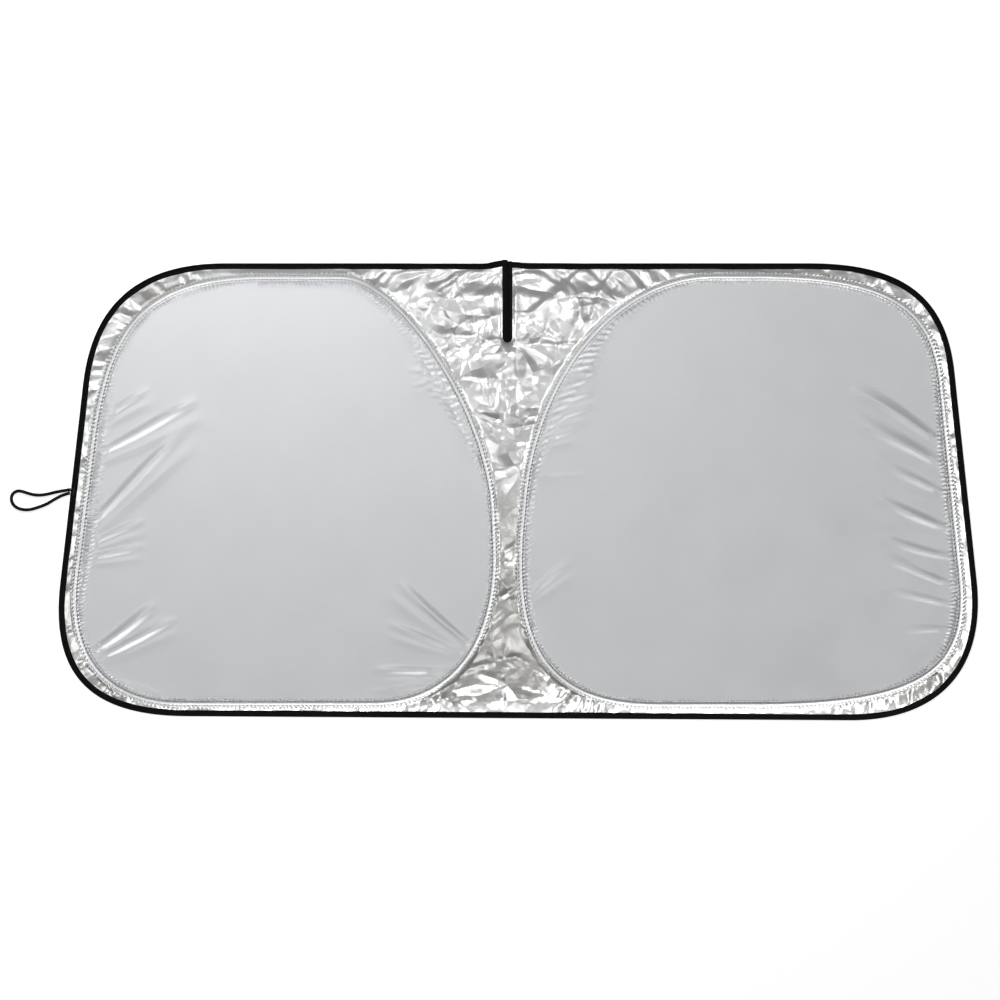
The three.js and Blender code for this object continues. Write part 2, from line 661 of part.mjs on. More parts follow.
// The casing: a strip arched over the hoop, with a sewn flange on the sheet and one on the panel.
function hoopCasing(hoop) {
  const half = CASING_WIDTH / 2;
  const channel = FERRULE_RADIUS + LAYER_GAP;
  const foot = channel * CASING_FOOT_SPREAD;
  const shoulder = channel * CASING_SHOULDER_SPREAD;
  const roof = WIRE_HEIGHT + channel;
  const onSheet = SHEET_TOP + LAYER_GAP;
  const onPanel = PANEL_TOP + LAYER_GAP;
  const section = [
    [half, onSheet],
    [half, onSheet + CLOTH],
    [foot + CLOTH, onSheet + CLOTH],
    [shoulder + CLOTH / 2, roof + CLOTH],
    [-shoulder - CLOTH / 2, roof + CLOTH],
    [-foot - CLOTH, onPanel + CLOTH],
    [-half, onPanel + CLOTH],
    [-half, onPanel],
    [-foot, onPanel],
    [-shoulder, roof],
    [shoulder, roof],
    [foot, onSheet],
  ];
  return strip(hoopPath(hoop.margins, CASING_END_GAP), HOOP_STEPS, section);
}

function springHoop(hoop) {
  const section = roundSection(WIRE_DIAMETER / 2, WIRE_SIDES, WIRE_HEIGHT);
  return strip(hoopPath(hoop.margins, WIRE_END_GAP), HOOP_STEPS, section);
}

function hoopFerrule() {
  const half = FERRULE_LENGTH / 2;
  const profile = [
    [FERRULE_BORE_RADIUS, -half],
    [FERRULE_RADIUS, -half],
    [FERRULE_RADIUS, half],
    [FERRULE_BORE_RADIUS, half],
    [FERRULE_BORE_RADIUS, -half],
  ].map(([radius, along]) => new THREE.Vector2(radius, along));
  return new THREE.LatheGeometry(profile, FERRULE_SIDES);
}

// Section of a tape folded over an edge: the fold is on the path and the two leaves reach in from it.
function foldedTapeSection() {
  const slope = TAPE / 2;
  return [
    [-TAPE_WIDTH, 0],
    [-slope, 0],
    [0, slope],
    [0, TAPE_HEIGHT - slope],
    [-slope, TAPE_HEIGHT],
    [-TAPE_WIDTH, TAPE_HEIGHT],
    [-TAPE_WIDTH, TAPE_HEIGHT - TAPE],
    [-TAPE, TAPE_HEIGHT - TAPE],
    [-TAPE, TAPE],
    [-TAPE_WIDTH, TAPE],
  ];
}

// A flat hairpin round the slit: two legs and a round turn below the slit's end.
function hairpin(reach, low, high) {
  const gap = SLIT_GAP / 2;
  const clear = TAPE_WIDTH + LAYER_GAP;
  const settled = 0.8;
  const leftTop = SLIT_TOP_Y + PEAK_RISE_LEFT * settled - clear;
  const rightTop = SLIT_TOP_Y + PEAK_RISE_RIGHT * settled - clear;
  const shape = new THREE.Shape();
  shape.moveTo(-reach, leftTop);
  shape.lineTo(-reach, SLIT_END_Y);
  shape.absarc(0, SLIT_END_Y, reach, Math.PI, 2 * Math.PI, false);
  shape.lineTo(reach, rightTop);
  shape.lineTo(gap, rightTop);
  shape.lineTo(gap, SLIT_END_Y);
  shape.absarc(0, SLIT_END_Y, gap, 0, Math.PI, true);
  shape.lineTo(-gap, leftTop);
  const options = { depth: high - low, bevelEnabled: false, curveSegments: TURN_SEGMENTS };
  return new THREE.ExtrudeGeometry(shape, options).translate(MIDDLE_X, 0, low);
}

function toSolid(geometry) {
  const bare = geometry.clone();
  bare.deleteAttribute("normal");
  bare.deleteAttribute("uv");
  const merged = mergeVertices(bare, 1e-4);
  return new wasm.Manifold(new wasm.Mesh({
    numProp: 3,
    vertProperties: merged.attributes.position.array,
    triVerts: new Uint32Array(merged.index.array),
  }));
}

function toGeometry(solid) {
  const mesh = solid.getMesh();
  return new THREE.BufferGeometry()
    .setAttribute("position", new THREE.BufferAttribute(mesh.vertProperties, mesh.numProp))
    .setIndex(new THREE.BufferAttribute(mesh.triVerts, 1));
}

// The slit's tape: an upper and a lower leaf joined by the fold along the slit.
function slitBinding() {
  const leaves = [
    hairpin(SLIT_TAPE_REACH, 0, TAPE),
    hairpin(SLIT_TAPE_REACH, TAPE_HEIGHT - TAPE, TAPE_HEIGHT),
    hairpin(SLIT_GAP / 2 + TAPE, 0, TAPE_HEIGHT),
  ].map(toSolid);
  return toGeometry(leaves[0].add(leaves[1]).add(leaves[2]));
}

function elasticLoop() {
  const height = ELASTIC_DIAMETER / 2 + ELASTIC_FLOOR_GAP;
  const route = new THREE.CatmullRomCurve3(ELASTIC_POINTS.map(([x, y]) => new THREE.Vector3(x, y, 0)));
  return strip(route, ELASTIC_STEPS, roundSection(ELASTIC_DIAMETER / 2, ELASTIC_SIDES, height));
}

// Stitched bar across the binding where the loop's ends go in.
function loopTack() {
  const ends = [ELASTIC_POINTS[0], ELASTIC_POINTS[ELASTIC_POINTS.length - 1]];
  const y = (ends[0][1] + ends[1][1]) / 2;
  const along = OUTLINE.topLeft.clone().sub(OUTLINE.bottomLeft).normalize();
  const edge = meetingPoint(
    { point: OUTLINE.bottomLeft, direction: along },
    { point: new THREE.Vector2(0, y), direction: new THREE.Vector2(1, 0) },
  );
  const geometry = new THREE.BoxGeometry(TACK_WIDTH, TACK_LENGTH, TACK_HEIGHT);
  geometry.rotateZ(Math.atan2(along.y, along.x) - Math.PI / 2);
  const height = TAPE_HEIGHT + LAYER_GAP + TACK_HEIGHT / 2;
  return geometry.translate(edge.x + TAPE_WIDTH / 2, edge.y, height);
}

const FINISHES = {
  slackSilver: new THREE.MeshStandardMaterial({ color: 0xd0cecb, roughness: 0.32, metalness: 0.55 }),
  tautSilver: new THREE.MeshStandardMaterial({ color: 0xc4c5c8, roughness: 0.5, metalness: 0.35 }),
  casingSilver: new THREE.MeshStandardMaterial({ color: 0xc9c9cb, roughness: 0.42, metalness: 0.4 }),
  springSteel: new THREE.MeshStandardMaterial({ color: 0x8d9094, roughness: 0.35, metalness: 0.95 }),
  blackTape: new THREE.MeshStandardMaterial({ color: 0x0e0e10, roughness: 0.75, metalness: 0 }),
  blackElastic: new THREE.MeshStandardMaterial({ color: 0x121214, roughness: 0.8, metalness: 0 }),
};

// Faces are shaded flat, so that each facet of a crumple shows.
function piece(name, geometry, finish) {
  const faceted = geometry.index ? geometry.toNonIndexed() : geometry;
  faceted.computeVertexNormals();
  const mesh = new THREE.Mesh(faceted, finish);
  mesh.name = name;
  return mesh;
}

const shade = new THREE.Group();
shade.name = "windscreen_sunshade";
shade.add(piece("surround_sheet", surroundSheet(), FINISHES.slackSilver));
for (const hoop of hoops) {
  shade.add(piece(`${hoop.name}_panel`, panel(hoop), FINISHES.tautSilver));
  shade.add(piece(`${hoop.name}_hoop_casing`, hoopCasing(hoop), FINISHES.casingSilver));
  shade.add(piece(`${hoop.name}_spring_hoop`, springHoop(hoop), FINISHES.springSteel));
  const ferrule = piece(`${hoop.name}_hoop_ferrule`, hoopFerrule(), FINISHES.springSteel);
  const joint = station(hoopPath(hoop.margins, 0), 0);
  ferrule.position.copy(joint.point).setZ(WIRE_HEIGHT);
  ferrule.rotation.z = Math.atan2(joint.outward.y, joint.outward.x);
  shade.add(ferrule);
}
shade.add(piece("edge_binding", strip(binding, OUTLINE_STEPS, foldedTapeSection()), FINISHES.blackTape));
shade.add(piece("slit_binding", slitBinding(), FINISHES.blackTape));
shade.add(piece("elastic_loop", elasticLoop(), FINISHES.blackElastic));
shade.add(piece("loop_bar_tack", loopTack(), FINISHES.blackTape));

// The origin is under the middle of the binding, on the surface that the shade lies on.
const extent = new THREE.Box3().setFromObject(shade.getObjectByName("edge_binding"));
shade.position.set(-(extent.min.x + extent.max.x) / 2, -(extent.min.y + extent.max.y) / 2, 0);

export default shade;
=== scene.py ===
"""Windscreen sunshade that twists up small, laid flat.

One silver cloth is held by two sprung hoops in sewn casings: taut inside the hoops, slack and crumpled
round them. A folded black tape binds its edge and the mirror slit, and an elastic loop is sewn to one
end. Sizes are in millimetres in the classes and become metres when a mesh is made.
"""

from __future__ import annotations

import logging
import math
from dataclasses import dataclass, field
from enum import Enum
from typing import Any, ClassVar, Sequence

import bpy
import numpy as np
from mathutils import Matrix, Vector
from mathutils.geometry import delaunay_2d_cdt


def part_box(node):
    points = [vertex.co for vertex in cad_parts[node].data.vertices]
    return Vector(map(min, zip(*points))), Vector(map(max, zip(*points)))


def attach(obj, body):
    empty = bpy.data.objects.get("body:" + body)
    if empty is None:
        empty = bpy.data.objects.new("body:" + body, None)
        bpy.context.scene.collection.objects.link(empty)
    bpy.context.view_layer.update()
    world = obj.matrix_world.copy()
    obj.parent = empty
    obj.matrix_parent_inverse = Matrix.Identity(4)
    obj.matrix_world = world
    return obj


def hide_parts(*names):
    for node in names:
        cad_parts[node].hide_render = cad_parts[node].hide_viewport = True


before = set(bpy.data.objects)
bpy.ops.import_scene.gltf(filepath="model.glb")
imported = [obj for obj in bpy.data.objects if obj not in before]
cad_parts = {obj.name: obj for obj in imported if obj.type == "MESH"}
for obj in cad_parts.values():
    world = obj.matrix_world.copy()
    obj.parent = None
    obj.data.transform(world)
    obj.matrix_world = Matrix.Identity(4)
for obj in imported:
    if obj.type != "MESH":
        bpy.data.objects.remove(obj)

LOG = logging.getLogger("sunshade")
MM = 0.001
MAP_SCALE = 0.01
BODY = "root"
Row = np.ndarray


# ---- Plane geometry -------------------------------------------------------------------------------


def step(low: float, high: float, value: Row) -> Row:
    """A smooth step.

    Args:
        low: Where it leaves 0.
        high: Where it reaches 1.
        value: Values to look up.

    Returns:
        A share from 0 to 1 for each value.
    """
    t = np.clip((value - low) / (high - low), 0.0, 1.0)
    return t * t * (3.0 - 2.0 * t)


def runs_along(line: Row, power: float = 1.0) -> Row:
    """The run from a line's start to each of its points, with each leg raised to a power."""
    return np.concatenate([[0.0], np.cumsum(np.linalg.norm(np.diff(line, axis=0), axis=1) ** power)])


def chance(i: Row, j: Row, seed: int) -> Row:
    """A repeatable chance for each pair of whole numbers.

    Args:
        i: First whole numbers.
        j: Second whole numbers.
        seed: Picks the series.

    Returns:
        A value from -1 to 1 for each pair.
    """
    a = i.astype(np.int64).astype(np.uint64)
    b = j.astype(np.int64).astype(np.uint64)
    mixed = a * np.uint64(374761393) + b * np.uint64(668265263) + np.uint64(seed * 97561 + 12345)
    mixed ^= mixed >> np.uint64(13)
    mixed *= np.uint64(1274126177)
    mixed ^= mixed >> np.uint64(16)
    return (mixed & np.uint64(0xFFFF)).astype(float) / 32767.5 - 1.0


def facets(x: Row, y: Row, cell: float, seed: int) -> Row:
    """Flat facets with sharp edges between them, over a grid of triangles.

    Args:
        x: Places across, in the unit of cell.
        y: Places up.
        cell: Size of a facet.
        seed: Picks the pattern.

    Returns:
        A height from -1 to 1 for each place.
    """
    v = y * 2.0 / (cell * math.sqrt(3.0))
    u = x / cell - v / 2.0
    i, j = np.floor(u), np.floor(v)
    a, b = u - i, v - j
    low = a + b < 1.0
    first = np.where(low, chance(i, j, seed), chance(i + 1, j + 1, seed))
    share = np.where(low, 1.0 - a - b, a + b - 1.0)
    along = np.where(low, a, 1.0 - b)
    up = np.where(low, b, 1.0 - a)
    return first * share + chance(i + 1, j, seed) * along + chance(i, j + 1, seed) * up


def swell(x: Row, y: Row, cell: float, seed: int) -> Row:
    """A soft, rolling pattern.

    Args:
        x: Places across, in the unit of cell.
        y: Places up.
        cell: Size of a roll.
        seed: Picks the pattern.

    Returns:
        A height from -1 to 1 for each place.
    """
    u, v = x / cell, y / cell
    i, j = np.floor(u), np.floor(v)
    a, b = step(0, 1, u - i), step(0, 1, v - j)
    lower = chance(i, j, seed) * (1 - a) + chance(i + 1, j, seed) * a
    upper = chance(i, j + 1, seed) * (1 - a) + chance(i + 1, j + 1, seed) * a
    return lower * (1 - b) + upper * b


@dataclass
class Track:
    """A line on the plane, sampled evenly, with the way out to its left as it runs clockwise."""

    points: Row
    outward: Row
    length: float
    closed: bool
    BLOCK: ClassVar[int] = 4000

    @classmethod
    def through(cls, dense: Row, closed: bool, spacing: float) -> "Track":
        """Samples a dense line evenly.

        Args:
            dense: Points of the line.
            closed: Whether the last point joins the first.
            spacing: Wanted distance between samples.

        Returns:
            The sampled line.
        """
        line = np.vstack([dense, dense[:1]]) if closed else dense
        runs = runs_along(line)
        count = int(round(runs[-1] / spacing))
        at = np.linspace(0.0, runs[-1], count + 1)
        points = np.stack([np.interp(at, runs, line[:, k]) for k in (0, 1)], axis=1)
        if closed:
            points = points[:-1]
            along = np.roll(points, -1, axis=0) - np.roll(points, 1, axis=0)
        else:
            along = np.gradient(points, axis=0)
        along /= np.linalg.norm(along, axis=1)[:, None]
        return cls(points, np.stack([-along[:, 1], along[:, 0]], axis=1), float(runs[-1]), closed)

    def nearest(self, places: Row) -> tuple[Row, Row]:
        """Where places lie beside the line.

        Args:
            places: Points of the plane.

        Returns:
            The signed distance of each, positive outside, and the run along the line up to it.
        """
        distance = np.empty(len(places))
        run = np.empty(len(places))
        spacing = self.length / (len(self.points) - (0 if self.closed else 1))
        square = (self.points**2).sum(axis=1)
        for start in range(0, len(places), self.BLOCK):
            block = slice(start, start + self.BLOCK)
            some = places[block]
            pick = (square[None, :] - 2.0 * some @ self.points.T).argmin(axis=1)
            offset = some - self.points[pick]
            out = self.outward[pick]
            side = (offset * out).sum(axis=1)
            ahead = offset[:, 0] * out[:, 1] - offset[:, 1] * out[:, 0]
            distance[block] = side
            run[block] = pick * spacing + np.clip(ahead, -spacing, spacing)
        return distance, run % self.length if self.closed else run


def bezier(corners: Sequence[Row], count: int = 160) -> Row:
    """Points of a cubic curve.

    Args:
        corners: Its four corners.
        count: How many points.

    Returns:
        The points, from the first corner to the last.
    """
    t = np.linspace(0.0, 1.0, count)[:, None]
    a, b, c, d = corners
    return a * (1 - t) ** 3 + 3 * b * t * (1 - t) ** 2 + 3 * c * t**2 * (1 - t) + d * t**3


@dataclass(frozen=True)
class Corner:
    """A rounded corner: where its curve starts and ends, and how hard it is pulled to the corner."""

    before: float
    after: float
    pull: float
    edge: float = 0.0
    side: float | None = None
    right_of_middle: float = 0.0


CLOCKWISE = ("top_left", "top_right", "bottom_right", "bottom_left")


@dataclass
class CutShape:
    """The outline that the cloth is cut to, and the hoops' lines inside it."""

    top_length: float = 1379.0
    bottom_length: float = 1543.0
    top_shift: float = 2.5
    left_height: float = 737.0
    right_height: float = 746.5
    top_y: float = 372.0
    middle_x: float = -18.0
    slit_depth: float = 121.0
    slit_gap: float = 0.6
    peak_rise: tuple[float, float] = (5.0, 2.5)
    peak_reach: float = 45.0
    rounding: dict[str, Corner] = field(default_factory=lambda: {
        "top_left": Corner(198, 209, 0.67),
        "top_right": Corner(219, 179, 0.7),
        "bottom_right": Corner(229, 231, 0.63),
        "bottom_left": Corner(230, 217, 0.69),
    })
    left_hoop: dict[str, Corner] = field(default_factory=lambda: {
        "top_left": Corner(267, 247, 0.75, 23.5, 30.8),
        "top_right": Corner(234, 385, 0.42, 23.5, None, -38),
        "bottom_right": Corner(257, 208, 0.62, 24, None, -11.5),
        "bottom_left": Corner(199, 210, 0.63, 19.7, 22.6),
    })
    right_hoop: dict[str, Corner] = field(default_factory=lambda: {
        "top_left": Corner(357, 270, 0.56, 22.5, None, 64.3),
        "top_right": Corner(282, 174, 0.74, 22.5, 24.2),
        "bottom_right": Corner(207, 356, 0.75, 26.8, 27.3),
        "bottom_left": Corner(250, 307, 0.71, 22, None, -4.5),
    })

    def __post_init__(self) -> None:
        """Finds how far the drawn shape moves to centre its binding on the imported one."""
        self.shift = np.zeros(2)
        line = self.outline_line()
        low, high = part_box("edge_binding")
        packed = np.array([low[0] + high[0], low[1] + high[1]]) / 2.0 / MM
        self.shift = packed - (line.min(axis=0) + line.max(axis=0)) / 2.0

    def sharp(self) -> dict[str, Row]:
        """The outline's sharp corners, by name.

        Returns:
            A point for each name of CLOCKWISE.
        """
        half = self.top_length / 2.0
        return {
            "top_left": np.array([self.top_shift - half, self.top_y]),
            "top_right": np.array([self.top_shift + half, self.top_y]),
            "bottom_right": np.array([self.bottom_length / 2.0, self.top_y - self.right_height]),
            "bottom_left": np.array([-self.bottom_length / 2.0, self.top_y - self.left_height]),
        }

    @staticmethod
    def curves(corners: dict[str, Row], rounding: dict[str, Corner]) -> dict[str, list[Row]]:
        """Rounds a four-sided shape.

        Args:
            corners: Its sharp corners, by name.
            rounding: How each is rounded.

        Returns:
            The four corners of each rounding's cubic curve, by name.
        """
        curves = {}

        def shared(start: str, end: str) -> float:
            """The share of what two roundings want that their edge has room for."""
            wanted = rounding[start].after + rounding[end].before
            return min(1.0, 0.98 * float(np.linalg.norm(corners[end] - corners[start])) / wanted)

        for i, name in enumerate(CLOCKWISE):
            previous, following = CLOCKWISE[i - 1], CLOCKWISE[(i + 1) % 4]
            corner, shape = corners[name], rounding[name]
            back = corners[previous] - corner
            on = corners[following] - corner
            back = back / np.linalg.norm(back) * shape.before * shared(previous, name)
            on = on / np.linalg.norm(on) * shape.after * shared(name, following)
            loose = 1.0 - shape.pull
            curves[name] = [corner + back, corner + back * loose, corner + on * loose, corner + on]
        return curves

    def hoop_corners(self, margins: dict[str, Corner]) -> dict[str, Row]:
        """The sharp corners of a hoop's line.

        Args:
            margins: How far in from the outline each corner lies.

        Returns:
            The corners, by name.
        """
        sharp = self.sharp()

        def inset(start: Row, end: Row, by: float) -> tuple[Row, Row]:
            """A point and the direction of an edge moved in by a distance."""
            along = (end - start) / np.linalg.norm(end - start)
            return start + np.array([along[1], -along[0]]) * by, along

        found = {}
        for name in CLOCKWISE:
            margin = margins[name]
            top = name.startswith("top")
            ends = ("top_left", "top_right") if top else ("bottom_right", "bottom_left")
            point, along = inset(sharp[ends[0]], sharp[ends[1]], margin.edge)
            beside, up = np.array([self.middle_x + margin.right_of_middle, 0.0]), np.array([0.0, 1.0])
            if margin.side is not None:
                left = name.endswith("left")
                ends = ("bottom_left", "top_left") if left else ("top_right", "bottom_right")
                beside, up = inset(sharp[ends[0]], sharp[ends[1]], margin.side)
            gap = beside - point
            share = (gap[0] * up[1] - gap[1] * up[0]) / (along[0] * up[1] - along[1] * up[0])
            found[name] = point + along * share
        return found

    def outline_line(self) -> Row:
        """Dense points of the outline, clockwise from the slit's right to its left.

        Returns:
            The points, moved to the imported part's place.
        """
        curves = self.curves(self.sharp(), self.rounding)
        half = self.peak_reach / 2.0

        def peak(side: int, rise: float) -> list[Row]:
            """The curve from the slit down to the straight edge beside it.

            Args:
                side: 1 for the right side of the slit, -1 for its left.
                rise: How high the edge stands beside the slit.

            Returns:
                The four corners of its cubic curve.
            """
            x = self.middle_x + side * self.slit_gap / 2.0
            y = self.top_y
            foot = self.middle_x + side * self.peak_reach
            near = self.middle_x + side * half
            corners = ((x, y + rise), (near, y + rise), (foot - side * half, y), (foot, y))
            return [np.array(corner) for corner in corners]

        runs = [bezier(peak(1, self.peak_rise[1]))]
        for name in ("top_right", "bottom_right", "bottom_left", "top_left"):
            runs.append(bezier(curves[name]))
        runs.append(bezier(peak(-1, self.peak_rise[0]))[::-1])
        return np.vstack(runs) + self.shift

    def outline(self, spacing: float = 2.0) -> Track:
        """The outline as an open track."""
        return Track.through(self.outline_line(), False, spacing)

    def hoop(self, margins: dict[str, Corner], spacing: float = 2.0) -> Track:
        """A hoop's line as a closed track, clockwise from the middle of its bottom run.

        Args:
            margins: How far in from the outline each corner lies, and how it is rounded.
            spacing: Wanted distance between samples.

        Returns:
            The sampled line.
        """
        corners = self.hoop_corners(margins)
        curves = self.curves(corners, margins)
        middle = (corners["bottom_left"] + corners["bottom_right"]) / 2.0
        runs = [middle[None, :]]
        for name in ("bottom_left", "top_left", "top_right", "bottom_right"):
            runs.append(bezier(curves[name]))
        return Track.through(np.vstack(runs) + self.shift, True, spacing)

    @property
    def slit_x(self) -> float:
        """Where the middle of the slit lies."""
        return self.middle_x + float(self.shift[0])

    @property
    def slit_end_y(self) -> float:
        """Where the slit ends."""
        return self.top_y - self.slit_depth + float(self.shift[1])


# ---- Meshes ---------------------------------------------------------------------------------------


def new_piece(name: str, points: Row, faces: Sequence, smooth: bool = True) -> bpy.types.Object:
    """Makes a mesh object at the origin.

    Args:
        name: Its name.
        points: Its points, in millimetres.
        faces: Its faces, as numbers of points.
        smooth: Whether its faces are shaded smooth.

    Returns:
        The object, linked to the scene.
    """
    mesh = bpy.data.meshes.new(name)
    mesh.from_pydata((points * MM).tolist(), [], [list(map(int, face)) for face in faces])
    mesh.validate()
    mesh.polygons.foreach_set("use_smooth", [smooth] * len(mesh.polygons))
    mesh.update()
    piece = bpy.data.objects.new(name, mesh)
    bpy.context.scene.collection.objects.link(piece)
    LOG.info("%s: %d points, %d faces", name, len(mesh.vertices), len(mesh.polygons))
    return piece


def tube_faces(count: int, around: int, closed: bool = False) -> list[tuple[int, ...]]:
    """The faces of a tube of stations, each a ring of points.

    Args:
        count: How many stations it has.
        around: How many points each has.
        closed: Whether the last station joins the first. An open tube is capped.

    Returns:
        The faces, as numbers of points.
    """
    faces: list[tuple[int, ...]] = []
    for i in range(count if closed else count - 1):
        a, b = i * around, ((i + 1) % count) * around
        for k in range(around):
            m = (k + 1) % around
            faces.append((a + k, a + m, b + m, b + k))
    if not closed:
        faces.append(tuple(range(around))[::-1])
        faces.append(tuple((count - 1) * around + k for k in range(around)))
    return faces


def finished(
    piece: bpy.types.Object, material: bpy.types.Material, slot: str, *nodes: str
) -> bpy.types.Object:
    """Dresses a piece and ties it to the part.

    Args:
        piece: The piece.
        material: Its material.
        slot: Not used.
        nodes: The part's nodes that it stands for.

    Returns:
        The same piece.
    """
    piece.data.materials.append(material)
    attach(piece, BODY)
    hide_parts(*nodes)
    return piece


def paint(piece: bpy.types.Object, name: str, values: Row) -> None:
    """Paints a value on each point of a piece."""
    piece.data.attributes.new(name, "FLOAT", "POINT").data.foreach_set("value", values)


def sweep(points: Row, outward: Row, profile: Row, closed: bool) -> tuple[Row, list]:
    """Carries a closed section along a line.

    Args:
        points: Stations of the line.
        outward: The way out at each station.
        profile: For each station, the section's places as distance out and height.
        closed: Whether the line is closed. An open one is capped.

    Returns:
        The points and faces of the strip, which face outwards.
    """
    flat = points[:, None, :] + outward[:, None, :] * profile[:, :, :1]
    all_points = np.concatenate([flat, profile[:, :, 1:]], axis=2).reshape(-1, 3)
    return all_points, tube_faces(*profile.shape[:2], closed)


def angle_per_unit(pitch: float) -> float:
    """The angle for each unit of a strip's map that repeats a pattern at a pitch in millimetres."""
    return 2.0 * math.pi / MAP_SCALE / pitch


def strip_uv(piece: bpy.types.Object, name: str, run: Row, around: Row) -> None:
    """Gives a strip a map of its run and its place across, in units of a tenth of a metre.

    Args:
        piece: The strip.
        name: Name of the map.
        run: The run of each point, in millimetres.
        around: The place across of each point, in millimetres.
    """
    mesh = piece.data
    corner = np.empty(len(mesh.loops), dtype=np.int64)
    mesh.loops.foreach_get("vertex_index", corner)
    values = np.stack([run[corner], around[corner]], axis=1)
    starts = np.empty(len(mesh.polygons), dtype=np.int64)
    mesh.polygons.foreach_get("loop_start", starts)
    ends = np.append(starts[1:], len(corner))
    long = float(run.max())
    for start, end in zip(starts, ends):
        part = values[start:end, 0]
        if part.max() - part.min() > long / 2.0:
            part[part < long / 2.0] += long
    layer = mesh.uv_layers.new(name=name)
    layer.data.foreach_set("uv", (values * MAP_SCALE).ravel())


# ---- Finishes -------------------------------------------------------------------------------------


@dataclass
class Wire:
    """A shader value that takes part in sums and products."""

    board: "Board"
    socket: bpy.types.NodeSocket | None

    def other(self, out: str) -> "Wire":
        """Another output of the same node."""
        return Wire(self.board, self.socket.node.outputs[out])

    def _with(self, operation: str, first: "Wire | float", second: "Wire | float") -> "Wire":
        """Adds a Math node for one operation."""
        return self.board.node("ShaderNodeMath", {"operation": operation}, {0: first, 1: second})

    def __add__(self, other: "Wire | float") -> "Wire":
        """The sum."""
        return self._with("ADD", self, other)

    __radd__ = __add__

    def __sub__(self, other: "Wire | float") -> "Wire":
        """The difference."""
        return self._with("SUBTRACT", self, other)

    def __rsub__(self, other: "Wire | float") -> "Wire":
        """The difference, the other way round."""
        return self._with("SUBTRACT", other, self)

    def __mul__(self, other: "Wire | float") -> "Wire":
        """The product."""
        return self._with("MULTIPLY", self, other)

    __rmul__ = __mul__

    def __pow__(self, other: "Wire | float") -> "Wire":
        """The power."""
        return self._with("POWER", self, other)

    def sine(self) -> "Wire":
        """The sine."""
        return self._with("SINE", self, 0.0)

    def between(self, low: float, high: float) -> "Wire":
        """A smooth step that leaves 0 at low and reaches 1 at high.

        Args:
            low: Where it leaves 0.
            high: Where it reaches 1.

        Returns:
            The share, from 0 to 1.
        """
        settings = {"interpolation_type": "SMOOTHSTEP", "clamp": True}
        places = {"Value": self, "From Min": low, "From Max": high}
        return self.board.node("ShaderNodeMapRange", settings, places)


